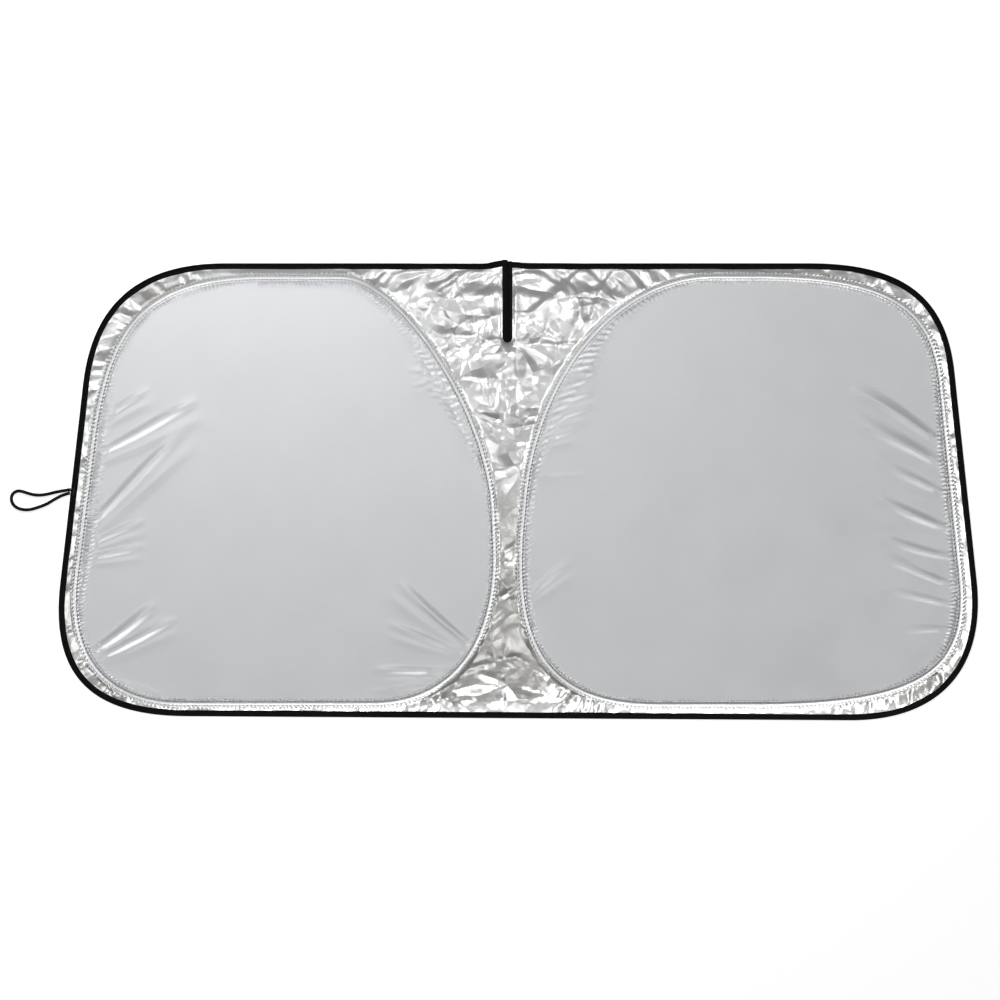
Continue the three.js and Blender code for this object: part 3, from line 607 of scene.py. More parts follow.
class Board:
    """A board of nodes, with the few kinds of step that the finishes are made of."""

    def __init__(self, owner: bpy.types.ID) -> None:
        """Starts an empty board.

        Args:
            owner: The material, world or node group that it belongs to.
        """
        self.owner = owner
        if isinstance(owner, bpy.types.NodeTree):
            self.tree = owner
        else:
            owner.use_nodes = True
            self.tree = owner.node_tree
        self.tree.nodes.clear()

    @classmethod
    def for_material(cls, name: str) -> "Board":
        """The empty board of a new material."""
        return cls(bpy.data.materials.new(name))

    def node(
        self,
        kind: str,
        settings: dict[str, Any] | None = None,
        values: dict[str | int, Any] | None = None,
        out: str | int = 0,
    ) -> Wire:
        """Adds any node.

        Args:
            kind: Its type.
            settings: Its own settings, which are set first. "stops" fills a colour ramp.
            values: Values or wires for its sockets, by name or number.
            out: The output that is wanted.

        Returns:
            The wanted output, or a bare wire for a node that has none.
        """
        made = self.tree.nodes.new(kind)
        for key, value in (settings or {}).items():
            if key == "stops":
                for place, (at, colour) in enumerate(value):
                    ramp = made.color_ramp.elements
                    stop = ramp[place] if place < len(ramp) else ramp.new(at)
                    stop.position = at
                    stop.color = (*colour, 1.0)
            else:
                setattr(made, key, value)
        for key, value in (values or {}).items():
            socket = made.inputs[key]
            if isinstance(value, Wire):
                self.tree.links.new(value.socket, socket)
            elif isinstance(value, tuple) and socket.type == "RGBA":
                socket.default_value = (*value, 1.0)
            else:
                socket.default_value = value
        return Wire(self, made.outputs[out] if len(made.outputs) else None)

    def mix(self, share: "Wire | float", first: Any, second: Any) -> Wire:
        """A colour between two.

        Args:
            share: How far from the first to the second.
            first: First colour or wire.
            second: Second colour or wire.

        Returns:
            The mixed colour.
        """
        values = {0: share, 6: first, 7: second}
        return self.node("ShaderNodeMix", {"data_type": "RGBA"}, values, 2)

    def places(self) -> Wire:
        """Object coordinates."""
        return self.node("ShaderNodeTexCoord", out="Object")

    def map(self, name: str) -> Wire:
        """The piece's own map, by name."""
        return self.node("ShaderNodeUVMap", {"uv_map": name})

    def attribute(self, name: str) -> Wire:
        """A value painted on the piece, by name."""
        return self.node("ShaderNodeAttribute", {"attribute_name": name}, out="Fac")

    def noise(self, at: Wire, scale: float, detail: float = 2.0, stretch: tuple = (1, 1, 1)) -> Wire:
        """Soft noise, which may be stretched.

        Args:
            at: Where it is read.
            scale: Its fineness.
            detail: How many finer layers it has.
            stretch: Its scale along each axis.

        Returns:
            A value about 0.5.
        """
        placed = self.node("ShaderNodeMapping", {}, {"Vector": at, "Scale": stretch})
        return self.node("ShaderNodeTexNoise", {}, {"Vector": placed, "Scale": scale, "Detail": detail})

    def split(self, at: Wire, axis: str) -> Wire:
        """One coordinate of a place."""
        return self.node("ShaderNodeSeparateXYZ", {}, {0: at}, axis)

    def bump(self, height: Wire, depth: float, under: Wire | None = None) -> Wire:
        """A bumped normal.

        Args:
            height: The pattern, from 0 to 1.
            depth: How far in metres it stands.
            under: Another bumped normal beneath it.

        Returns:
            The normal.
        """
        values: dict[str, Any] = {"Height": height, "Distance": depth, "Strength": 1.0}
        if under is not None:
            values["Normal"] = under
        return self.node("ShaderNodeBump", {}, values)

    def finish(self, values: dict[str, Any]) -> bpy.types.Material:
        """Closes the board with its shader.

        Args:
            values: The shader's sockets, by name.

        Returns:
            The material.
        """
        return self.close(self.node("ShaderNodeBsdfPrincipled", {}, values))

    def close(self, shader: Wire, kind: str = "ShaderNodeOutputMaterial") -> bpy.types.ID:
        """Joins a shader to the board's output, and gives the board's owner back."""
        self.node(kind, {}, {"Surface": shader})
        return self.owner


@dataclass(frozen=True)
class SilverFinish:
    """Silver-coated cloth: satin where it is taut, brighter and shinier where it is slack."""

    taut: tuple[float, float, float] = (0.59, 0.592, 0.602)
    slack: tuple[float, float, float] = (0.95, 0.95, 0.95)
    warm: tuple[float, float, float] = (0.76, 0.72, 0.66)
    # Painted shade: the warm grey that the slack sheet is darkened to in a band near its bottom edge.
    low: tuple[float, float, float] = (0.52, 0.51, 0.485)
    # Painted shade for the valleys of the puckers beside the seams.
    painted_pucker_shade: tuple[float, float, float] = (0.3, 0.3, 0.31)
    taut_roughness: float = 0.44
    slack_roughness: float = 0.345
    taut_metallic: float = 0.5
    slack_metallic: float = 0.95
    bloom: tuple[float, float, float] = (0.9, 0.9, 0.92)
    pucker_pitch: float = 6.8
    pucker_depth: float = 0.0024
    weave_depth: float = 0.0003
    crease_cells: tuple[float, float, float] = (12.0, 29.0, 75.0)
    crease_heights: tuple[float, float, float] = (0.0145, -0.0026, 0.0005)
    shake: float = 0.03

    def dress(self) -> bpy.types.Material:
        """Builds the material of the one cloth.

        Returns:
            The new material.
        """
        board = Board.for_material("silver_cloth")
        at = board.places()
        slack = board.attribute("slack")
        seam = board.map("seam")
        run = board.split(seam, "X")
        out = board.split(seam, "Y")
        beat = run * angle_per_unit(self.pucker_pitch) + board.noise(seam, 2.5) * 9.0
        comb = beat.sine() * 0.5 + 0.5
        near = 1.0 - out.between(0.25, 1.1)
        amount = board.noise(seam, 2.0, 1.0).between(0.3, 0.55) * 0.75 + 0.25
        shade = board.noise(at, 9.0, 3.0)
        streak = board.noise(at, 60.0, 2.0, (1.0, 9.0, 1.0))
        warm = board.noise(at, 14.0, 2.0).between(0.52, 0.75) * slack
        plain = board.mix(slack, self.taut, self.slack)
        north = board.split(at, "Y")
        # Painted shade: a band of the slack sheet near its bottom edge is darkened towards the low colour.
        low = (1.0 - north.between(-0.2, 0.28)) * north.between(-0.356, -0.338) * slack
        toned = board.mix(warm * 0.55, board.mix(low * 0.95, plain, self.low), self.warm)
        colour = board.mix((shade - 0.5) * 0.2 + (streak - 0.5) * 0.04 + 0.1, toned, self.bloom)
        # Painted shade: the taut panels are darkened in the valleys of the puckers beside the seams.
        colour = board.mix((1.0 - comb) * near * amount * (1.0 - slack) * 0.1, colour, self.painted_pucker_shade)
        rough = slack * (self.slack_roughness - self.taut_roughness) + self.taut_roughness
        rough = rough + (shade - 0.5) * 0.12 + (streak - 0.5) * 0.08
        metal = slack * (self.slack_metallic - self.taut_metallic) + self.taut_metallic
        pucker = board.bump(comb * near * amount, self.pucker_depth)
        soft = {"Vector": at, "Scale": 15.0, "Detail": 1.0}
        pushed = board.node("ShaderNodeTexNoise", {}, soft, "Color")
        moved = board.node("ShaderNodeVectorMath", {"operation": "SCALE"}, {0: pushed, "Scale": self.shake})
        shaken = board.node("ShaderNodeVectorMath", {"operation": "ADD"}, {0: at, 1: moved})
        edges = {"feature": "DISTANCE_TO_EDGE"}
        wide, middle, narrow = (
            board.node("ShaderNodeTexVoronoi", edges, {"Vector": shaken, "Scale": cells}) * height
            for cells, height in zip(self.crease_cells, self.crease_heights)
        )
        worn = board.noise(at, 11.0, 1.0).between(0.42, 0.6)
        crumpled = board.attribute("crumpled")
        creases = (wide + (middle + narrow) * (worn + 0.25) * (1.0 - low * 0.5)) * crumpled
        crumple = board.bump(creases, 1.0, pucker)
        weave = streak * 0.3 + board.noise(at, 420.0) * 0.5
        return board.finish({
            "Base Color": colour,
            "Metallic": metal,
            "Roughness": rough,
            "Normal": board.bump(weave, self.weave_depth, crumple),
        })


@dataclass(frozen=True)
class CasingFinish:
    """The casing's silver strip, with a grey line along each row of stitches, partly the seam itself and
    partly painted shade, and deeper painted shade in the dents along the row.
    """

    silver: tuple[float, float, float] = (0.87, 0.87, 0.87)
    # Grey of the stitch rows: partly the seam, partly painted shade in the dents along it.
    seam: tuple[float, float, float] = (0.15, 0.147, 0.143)
    row_out: float = 3.7
    dent_pitch: float = 6.4
    dent_depth: float = 0.0016
    weave_depth: float = 0.0002

    def dress(self) -> bpy.types.Material:
        """Builds the material.

        Returns:
            The new material.
        """
        board = Board.for_material("casing_cloth")
        at = board.places()
        lie = board.map("strip")
        across = board.split(lie, "Y")
        run = board.split(lie, "X")
        side = board.node("ShaderNodeMath", {"operation": "ABSOLUTE"}, {0: across})
        off = board.node("ShaderNodeMath", {"operation": "ABSOLUTE"}, {0: side - self.row_out * MAP_SCALE})
        groove = 1.0 - off.between(0.005, 0.02)
        gathered = board.attribute("gathered")
        shade = board.noise(at, 30.0, 3.0)
        beat = (run + across * 0.7) * angle_per_unit(self.dent_pitch) + board.noise(lie, 2.0) * 6.0
        dents = (beat.sine() * 0.5 + 0.5).between(0.5, 0.8)
        # Painted shade: the seam colour along each stitch row, deepened in the dents and most where the
        # strip is gathered.
        dark = groove * (dents * (gathered * 0.45 + 0.22) + 0.1)
        colour = board.mix(dark + (shade - 0.5) * 0.2, self.silver, self.seam)
        dented = board.bump(1.0 - dents * groove * (gathered * 0.6 + 0.4), self.dent_depth)
        return board.finish({
            "Base Color": colour,
            "Metallic": 0.9,
            "Roughness": (shade - 0.5) * 0.2 + 0.44,
            "Normal": board.bump(board.noise(at, 500.0), self.weave_depth, dented),
        })


@dataclass(frozen=True)
class TapeFinish:
    """Black folded tape, ribbed along its length by its weave."""

    name: str = "black_tape"
    dark: tuple[float, float, float] = (0.001, 0.001, 0.0011)
    pale: tuple[float, float, float] = (0.0035, 0.0035, 0.0037)
    rib: float = 0.9
    pick: float = 0.8
    weave_depth: float = 0.00025

    def dress(self) -> bpy.types.Material:
        """Builds the material.

        Returns:
            The new material.
        """
        board = Board.for_material(self.name)
        lie = board.map("strip")
        across = board.split(lie, "Y")
        run = board.split(lie, "X")
        ribs = (across * angle_per_unit(self.rib)).sine() * 0.5 + 0.5
        picks = (run * angle_per_unit(self.pick)).sine() * 0.5 + 0.5
        wear = board.noise(board.places(), 40.0, 3.0)
        colour = board.mix(ribs * 0.35 + (wear - 0.5) * 0.6, self.dark, self.pale)
        return board.finish({
            "Base Color": colour,
            "Roughness": (wear - 0.5) * 0.25 + 0.5,
            "Normal": board.bump(ribs * 0.7 + picks * 0.3, self.weave_depth),
            "Specular IOR Level": 0.07,
        })


@dataclass(frozen=True)
class ThreadFinish:
    """Sewing thread or elastic, with its twist."""

    name: str
    colour: tuple[float, float, float]
    roughness: float = 0.55

    def dress(self) -> bpy.types.Material:
        """Builds the material.

        Returns:
            The new material.
        """
        board = Board.for_material(self.name)
        fuzz = board.noise(board.places(), 900.0)
        pale = tuple(min(1.0, c * 1.7 + 0.003) for c in self.colour)
        return board.finish({
            "Base Color": board.mix(fuzz.between(0.35, 0.75), self.colour, pale),
            "Roughness": (fuzz - 0.5) * 0.2 + self.roughness,
            "Normal": board.bump(fuzz, 0.0002),
            "Specular IOR Level": 0.12,
        })


@dataclass(frozen=True)
class SteelFinish:
    """Drawn spring steel."""

    colour: tuple[float, float, float] = (0.45, 0.46, 0.47)

    def dress(self) -> bpy.types.Material:
        """Builds the material.

        Returns:
            The new material.
        """
        board = Board.for_material("spring_steel")
        drawn = board.noise(board.places(), 300.0, 3.0)
        return board.finish({
            "Base Color": board.mix(drawn, self.colour, tuple(c * 0.7 for c in self.colour)),
            "Metallic": 1.0,
            "Roughness": (drawn - 0.5) * 0.3 + 0.35,
            "Normal": board.bump(drawn, 0.0001),
        })


# ---- Pieces ---------------------------------------------------------------------------------------


@dataclass(frozen=True)
class Crease:
    """A crease: its crest's points, its rise, and its width on the side of the light and away from it."""

    line: tuple[tuple[float, float], ...]
    rise: float
    lit: float
    shaded: float


@dataclass(frozen=True)
class Fold:
    """A fold of a panel that starts at the hoop: see the same list in the solids."""

    at: float
    lean: float
    length: float
    half_width: float
    rise: float


FOLDS_LEFT = tuple(Fold(*row) for row in (
    (0.290, 35, 199, 15, 4), (0.236, 52, 238, 15, 5), (0.312, 44, 105, 11, 2), (0.224, 32, 118, 10, 2),
    (0.216, 21, 114, 10, 2.5), (0.147, 9, 145, 15, 2.5), (0.143, -6, 160, 11, 2), (0.131, -65, 125, 8, 4),
    (0.851, -12, 167, 13, 2.5), (0.855, 13, 145, 10, 2), (0.870, 44, 138, 11, 2), (0.883, 62, 123, 8, 1.5),
    (0.648, -35, 67, 7, 1.5), (0.654, -23, 69, 7, 1.5), (0.678, 73, 123, 8, -2),
))
FOLDS_RIGHT = tuple(Fold(*row) for row in (
    (0.327, 57, 82, 10, 2), (0.318, 43, 85, 10, 2), (0.306, 39, 87, 10, 2), (0.291, 38, 79, 10, 2),
    (0.268, 14, 109, 5, 1), (0.706, -38, 184, 22, 1.2), (0.722, -34, 173, 20, 1.0),
    (0.742, -34, 150, 18, 1.1), (0.766, -31, 155, 17, 1.3), (0.783, -21, 143, 15, 1.1),
    (0.802, -24, 147, 15, 1.1), (0.815, -9, 144, 14, 1.0), (0.831, 15, 109, 13, 0.8),
    (0.839, 65, 83, 10, 1.2), (0.185, 32, 102, 12, 1.2),
))
CREASES = tuple(Crease(*row) for row in (
    (((-107, 346.3), (-92.2, 303.7), (-74.2, 262.8)), 2.5, 6, 8),
    (((-128.5, 259.5), (-79.6, 251.4), (-30.7, 243.2)), 2.5, 14, 10),
    (((-25.6, 247), (-46.4, 242.2), (-59.3, 236.7), (-75.1, 214.5)), 4, 8, 9),
    (((-58.5, 220.2), (-35.3, 221.9), (-10.6, 225.2)), 3.5, 8, 20),
    (((-36.3, 195.6), (-15.1, 205.4)), 2, 6, 8),
    (((-64.7, 223.1), (-39.1, 178.8), (-38.4, 133.2)), 3, 7, 9),
    (((-13, 361.7), (-8.1, 309.9), (2.2, 261)), 2, 10, 12),
    (((1.3, 280.4), (22.1, 287.6), (47, 310.7), (71.6, 328.8), (104.5, 361.6)), 5, 22, 11),
    (((85.4, 341.4), (96.7, 308.9), (106.5, 270)), 3, 10, 8),
    (((142.9, 344.6), (126.7, 305.5), (113.6, 269.8)), 2.5, 14, 7),
    (((126.3, 313), (155.6, 357)), 3, 12, 7),
    (((21.6, 283.8), (41.7, 258.8), (70, 245.4)), 2.5, 8, 6),
    (((-12, 236.3), (20.6, 249.3)), 3, 6, 8),
    (((2.7, 238.1), (51.7, 236.5), (103.9, 238.1)), 2.5, 8, 7),
    (((-103.8, 186.9), (-29.8, 180.3), (68.6, 188.5)), 3, 16, 15),
    (((-78.2, 163.3), (-13.4, 169.8), (59.6, 166.5)), 2, 10, 10),
    (((-30.7, 179.1), (-42.1, 131.8)), 2, 4, 5),
    (((-58.3, 174.1), (-46.9, 131.8)), 2, 4, 5),
    (((-26.6, 150.7), (-16.8, 126.2)), 2.5, 6, 7),
    (((-63.7, 125.9), (-31.1, 112.9)), 2.5, 5, 7),
    (((-13.2, 100.7), (10, 102.4), (31.7, 109)), 3, 6, 8),
    (((-66.4, 141.4), (-43.6, 134.9)), 1.8, 4, 5),
    (((-58.2, 121.9), (-35.4, 115.3)), 1.8, 4, 5),
    (((-51.9, 105.6), (-30.7, 97.5)), 1.8, 4, 5),
    (((-48.7, 91), (-27.5, 82.8)), 1.8, 4, 5),
    (((-24.7, -102), (1.4, -85.7)), 3, 5, 7),
    (((-36.8, -115.1), (-14, -118.3)), 2.2, 4, 6),
    (((-34.3, -177.5), (-14.6, -166), (6.7, -151.2)), 4, 6, 8),
    (((-45.7, -216), (-26.1, -201.3)), 3, 5, 7),
    (((-25.3, -274.2), (-18.8, -249.8)), 2.5, 5, 6),
    (((-29.1, -276.3), (-48.7, -269.8)), 2.5, 5, 6),
    (((-30.4, -275.5), (-10.6, -290.5), (-33.5, -302.3)), 3, 6, 6),
    (((-27.6, -276.4), (5, -269.9)), 2.5, 5, 6),
    (((-87.3, -293.6), (-61.5, -285.5), (-35.6, -280.7)), 3, 8, 8),
    (((-15.4, -267.8), (16.9, -282.3), (52.5, -305)), 3.5, 12, 9),
    (((-67.4, -296.1), (-23.3, -312.4), (17.7, -325.5), (66.8, -338.6), (110.9, -348.4)), 3.5, 9, 10),
    (((-143.3, -350.8), (-78.6, -341), (-13.8, -345.9)), 3, 8, 8),
    (((-113.7, -330.1), (-70.3, -317.2), (-26.9, -322.1)), 2.5, 9, 6),
))

# The combs of puckers inside each seam: place round the hoop, reach in, lean, and puckers for each pitch.
COMB_LEFT = (
    (0.0, 8, 0, 1), (0.12, 12, 0, 1), (0.18, 17, -0.3, 1), (0.22, 27, -0.3, 0.9), (0.30, 24, -0.2, 0.9),
    (0.36, 14, 0, 1), (0.45, 16, 0, 1), (0.55, 18, 0, 1), (0.61, 26, 0.4, 0.8), (0.65, 48, 0.57, 0.45),
    (0.69, 30, 0.4, 0.6), (0.73, 12, 0, 1), (0.83, 12, 0, 1), (0.88, 10, 0, 1), (1.0, 8, 0, 1),
)
COMB_RIGHT = (
    (0.0, 8, 0, 1), (0.1, 12, 0, 1), (0.18, 16, 0, 1), (0.27, 20, -0.6, 0.8), (0.31, 34, -1.0, 0.45),
    (0.35, 48, -1.0, 0.4), (0.39, 26, -0.5, 0.6), (0.45, 14, 0, 1), (0.58, 12, 0, 1), (0.66, 16, 0, 1),
    (0.83, 20, 0, 1), (0.9, 10, 0, 1), (1.0, 8, 0, 1),
)


@dataclass
class SilverCloth:
    """The one silver cloth: two taut panels inside the hoops and the slack sheet round them."""

    shape: CutShape
    outline: Track
    hoops: tuple[Track, Track]
    slack_spacing: float = 3.06
    rim_spacing: float = 5.0
    fold_spacing: float = 8.5
    middle_spacing: float = 14.0
    ridge_spacing: float = 3.6
    thickness: float = 0.5
    edge_inset: float = 3.7
    slit_inset: float = 1.1
    sheet_top: float = 1.3
    panel_top: float = 2.1
    casing_lap_top: float = 4.4
    under_tape: float = 9.8
    under_slit_tape: float = 8.9
    casing_half: float = 6.0
    panel_start: float = 2.4
    loose_from_casing: tuple[float, float] = (5.6, 9.5)
    loose_from_edge: tuple[float, float] = (9.6, 13.0)
    loose_from_slit: tuple[float, float] = (8.6, 13.0)
    margin: tuple[float, float] = (26.0, 60.0)
    slack_rise: float = 5.0
    facet_cells: tuple[float, float, float] = (58.0, 25.0, 11.5)
    facet_rises: tuple[float, float, float] = (3.4, 1.6, 0.35)
    roll_cell: float = 34.0
    roll_rise: float = 1.7
    pleat_cells: tuple[float, float] = (12.0, 6.5)
    pleat_rise: float = 4.2
    crease_share: float = 0.56
    low_edge_tilt: float = 0.075
    fold_slope: float = 0.68
    panel_unevenness: float = 0.35
    pucker_rise: float = 0.5
    light: Row = field(default_factory=lambda: np.array([0.0, -1.0]))

    def rim(self) -> Row:
        """The cut edge, with the slit as a notch.

        Returns:
            Its points, clockwise from the slit's right.
        """
        line = self.outline.points - self.outline.outward * self.edge_inset
        x, end = self.shape.slit_x, self.shape.slit_end_y
        half = len(line) // 2
        line[:half, 0] = np.maximum(line[:half, 0], x + self.slit_inset)
        line[half:, 0] = np.minimum(line[half:, 0], x - self.slit_inset)
        keep = np.abs(line[:, 0] - x) > self.slit_inset + 0.01
        top_right, top_left = line[0], line[-1]
        line = line[keep]
        line = line[::2] if len(line) % 2 else line[:-1:2]
        down = np.arange(top_left[1], end, -3.0)
        left = np.stack([np.full(len(down), x - self.slit_inset), down], axis=1)
        up = np.arange(end, top_right[1], 3.0)
        right = np.stack([np.full(len(up), x + self.slit_inset), up], axis=1)
        return np.vstack([line, left, [[x, end - self.slit_inset]], right])

    def lattice(self, spacing: float, seed: int) -> Row:
        """Uneven points over the whole cloth, about a spacing apart.

        Args:
            spacing: Their distance.
            seed: Picks the unevenness.

        Returns:
            The points of the plane.
        """
        low, high = self.outline.points.min(axis=0), self.outline.points.max(axis=0)
        rows = np.arange(low[1], high[1], spacing * math.sqrt(3.0) / 2.0)
        columns = np.arange(low[0], high[0], spacing)
        x, y = np.meshgrid(columns, rows)
        x = x + (np.arange(len(rows))[:, None] % 2) * spacing / 2.0
        i, j = np.meshgrid(np.arange(len(columns)), np.arange(len(rows)))
        x = x + chance(i, j, seed) * spacing * 0.18
        y = y + chance(j, i, seed + 1) * spacing * 0.18
        return np.stack([x.ravel(), y.ravel()], axis=1)

    def beside_hoops(self, places: Row) -> tuple[Row, Row, Row]:
        """The nearer hoop of each place.

        Args:
            places: Points of the plane.

        Returns:
            The signed distance from it, the run along it, and 0 for the left hoop or 1 for the right.
        """
        found = [hoop.nearest(places) for hoop in self.hoops]
        pick = (np.abs(found[1][0]) < np.abs(found[0][0])).astype(int)
        inside = [found[k][0] < 0 for k in (0, 1)]
        pick = np.where(inside[0], 0, np.where(inside[1], 1, pick))
        distance = np.where(pick == 0, found[0][0], found[1][0])
        return distance, np.where(pick == 0, found[0][1], found[1][1]), pick

    def edge_distance(self, places: Row) -> Row:
        """How far in from the binding's fold each place lies."""
        return -self.outline.nearest(places)[0]

    def scattered(self) -> Row:
        """Points inside the cloth, close together where it is slack and wide apart where it is taut.

        Returns:
            The points, zone by zone.
        """
        # Each zone's spacing, and where it lies out from the hoops. The last one is the folds' own.
        zones = (
            (self.slack_spacing, -8.0, 1e6),
            (self.rim_spacing, -25.0, -10.5),
            (self.fold_spacing, -170.0, -30.0),
            (self.middle_spacing, -1e6, -179.0),
            (self.ridge_spacing, -230.0, -28.0),
        )
        kept = []
        for seed, (spacing, low, high) in enumerate(zones):
            places = self.lattice(spacing, 11 + seed)
            middle = np.abs(places[:, 0] - self.shape.slit_x)
            edge = self.edge_distance(places)
            near_slit = (middle < self.slit_inset + 1.5) & (places[:, 1] > self.shape.slit_end_y - 2.5)
            places = places[(edge > self.edge_inset + 1.5) & ~near_slit]
            distance = self.beside_hoops(places)[0]
            wanted = (distance >= low) & (distance < high)
            if seed > 1:
                wanted &= self.near_fold(places) == (spacing == self.ridge_spacing)
            kept.append(places[wanted])
        return np.vstack(kept)

    def folds(self) -> list[tuple[int, int, Fold, Row, Row, Row]]:
        """Each fold with its hoop, its number, its start, its heading and the way beside it.

        Returns:
            A row for each fold, with the fold itself after its number.
        """
        found = []
        for which, folds in enumerate((FOLDS_LEFT, FOLDS_RIGHT)):
            hoop = self.hoops[which]
            for number, fold in enumerate(folds):
                start = int(round(fold.at * len(hoop.points))) % len(hoop.points)
                inward = -hoop.outward[start]
                along = np.array([inward[1], -inward[0]])
                lean = math.radians(fold.lean)
                heading = inward * math.cos(lean) - along * math.sin(lean)
                beside = np.array([-heading[1], heading[0]])
                found.append((which, number, fold, hoop.points[start], heading, beside))
        return found

    def near_fold(self, places: Row) -> Row:
        """Whether each place lies on a fold of a panel.

        Args:
            places: Points of the plane.

        Returns:
            True or false for each.
        """
        near = np.zeros(len(places), dtype=bool)
        for _, _, fold, start, heading, beside in self.folds():
            offset = places - start
            far = offset @ heading
            toward = math.copysign(1.0, float(beside @ self.light))
            off = np.abs(offset @ beside - 0.6 * fold.half_width * toward)
            near |= (far > 0.0) & (far < fold.length) & (off < 2.0 * fold.half_width)
        return near

    def fold_height(self, places: Row, distance: Row, pick: Row) -> Row:
        """The folds of both panels.

        Args:
            places: Points of the cloth.
            distance: Their signed distances from the hoop.
            pick: The hoop of each.

        Returns:
            The height that the folds add at each.
        """
        height = np.zeros(len(places))
        for which, number, fold, start, heading, beside in self.folds():
            inside = (pick == which) & (distance < 0)
            offset = places[inside] - start
            far = offset @ heading
            share = np.clip(far / fold.length, 0.0, 1.0)
            bend = 0.10 * fold.half_width * np.sin(share * 5.0 + number)
            width = fold.half_width * (0.5 + 0.5 * share)
            toward = math.copysign(1.0, float(beside @ self.light))
            off = (offset @ beside + bend) * toward / width
            swelling = np.sin(np.pi * (0.25 + 0.75 * share)) * (far > 0)
            crest = np.clip(1.0 - off / np.where(off > 0, 1.0, -0.9), 0.0, 1.0) ** 1.25
            lesser = np.exp(-((off - 2.0) ** 2) * 1.6)
            strength = self.fold_slope * math.copysign(min(1.0, 0.1 + 0.3 * abs(fold.rise)), fold.rise)
            height[inside] += strength * width * swelling * (crest + 0.35 * lesser)
        return height

    def crease_height(self, places: Row) -> Row:
        """The large creases of the slack middle.

        Args:
            places: Points of the cloth.

        Returns:
            The height that the creases add at each.
        """
        height = np.zeros(len(places))
        for crease in CREASES:
            line = np.array(crease.line)
            best = np.full(len(places), 1e9)
            side = np.zeros(len(places))
            share = np.zeros(len(places))
            runs = runs_along(line)
            for k in range(len(line) - 1):
                span = line[k + 1] - line[k]
                long = np.linalg.norm(span)
                offset = places - line[k]
                t = np.clip(offset @ span / long**2, 0.0, 1.0)
                gap = offset - t[:, None] * span
                away = np.linalg.norm(gap, axis=1)
                closer = away < best
                best = np.where(closer, away, best)
                normal = np.array([-span[1], span[0]]) / long
                lit = math.copysign(1.0, float(normal @ self.light))
                side = np.where(closer, (offset @ normal) * lit, side)
                share = np.where(closer, (runs[k] + t * long) / runs[-1], share)
            width = np.where(side > 0, crease.lit, crease.shaded)
            wobble = 1.0 + 0.25 * swell(places[:, 0], places[:, 1], 17.0, 41)
            tent = np.clip(1.0 - best / (width * wobble), 0.0, 1.0) ** 1.15
            ends = step(0.0, 0.22, share + 0.1) * step(0.0, 0.22, 1.1 - share)
            height += crease.rise * tent * ends
        return height

    def crumple_height(self, places: Row, distance: Row, run: Row, edge: Row) -> Row:
        """The slack sheet's crumple and the pleats of its margins.

        Args:
            places: Points of the cloth.
            distance: Their signed distances from the hoop.
            run: Their runs along it.
            edge: Their distances in from the binding's fold.

        Returns:
            The height above the flat sheet.
        """
        x, y = places[:, 0], places[:, 1]
        u = x + 9.0 * swell(x, y, 45.0, 3) + 1.2 * swell(x, y, 13.0, 5)
        v = y + 9.0 * swell(x, y, 45.0, 4) + 1.2 * swell(x, y, 13.0, 6)
        large = facets(u + 7.0, v, self.facet_cells[0], 21)
        medium = facets(u * 0.94 + v * 0.34, v * 0.94 - u * 0.34, self.facet_cells[1], 22)
        small = facets(u * 0.8 - v * 0.6, v * 0.8 + u * 0.6, self.facet_cells[2], 23)
        rough = step(-0.5, 0.6, swell(x, y, 55.0, 8))
        calm = 1.0 - 0.1 * np.exp(-(((y + 10.0) / 75.0) ** 2)) - 0.45 * step(-225.0, -285.0, y)
        soft = self.roll_rise * swell(u, v, self.roll_cell, 51)
        most, more, least = self.facet_rises
        middle = most * large + more * medium * (0.5 + rough) + least * small * (0.3 + rough) + soft
        slant = run + 0.35 * distance * swell(run, distance, 90.0, 9)
        wide, fine = self.pleat_cells
        pleats = facets(slant, distance * 0.25, wide, 31) + 0.45 * facets(slant, distance * 0.3, fine, 32)
        margin = 1.0 - step(*self.margin, edge)
        strip = np.clip((edge + np.maximum(distance, 0.0) - 18.0) / 22.0, 0.12, 1.0)
        uneven = 0.6 + 0.7 * step(-0.4, 0.6, swell(run, distance, 120.0, 10))
        ridge = self.pleat_rise * strip * pleats * uneven
        free = middle * calm * (1.0 - margin) + ridge * margin
        room = sum(np.maximum(hoop.nearest(places)[0], 0) for hoop in self.hoops)
        rise = self.slack_rise * (0.25 + 0.75 * step(40.0, 120.0, room)) * (1.0 - 0.95 * margin)
        tilt = self.low_edge_tilt * np.clip(-255.0 - y, 0.0, 95.0)
        return rise + tilt * (1.0 - margin) + free + self.crease_share * self.crease_height(places)

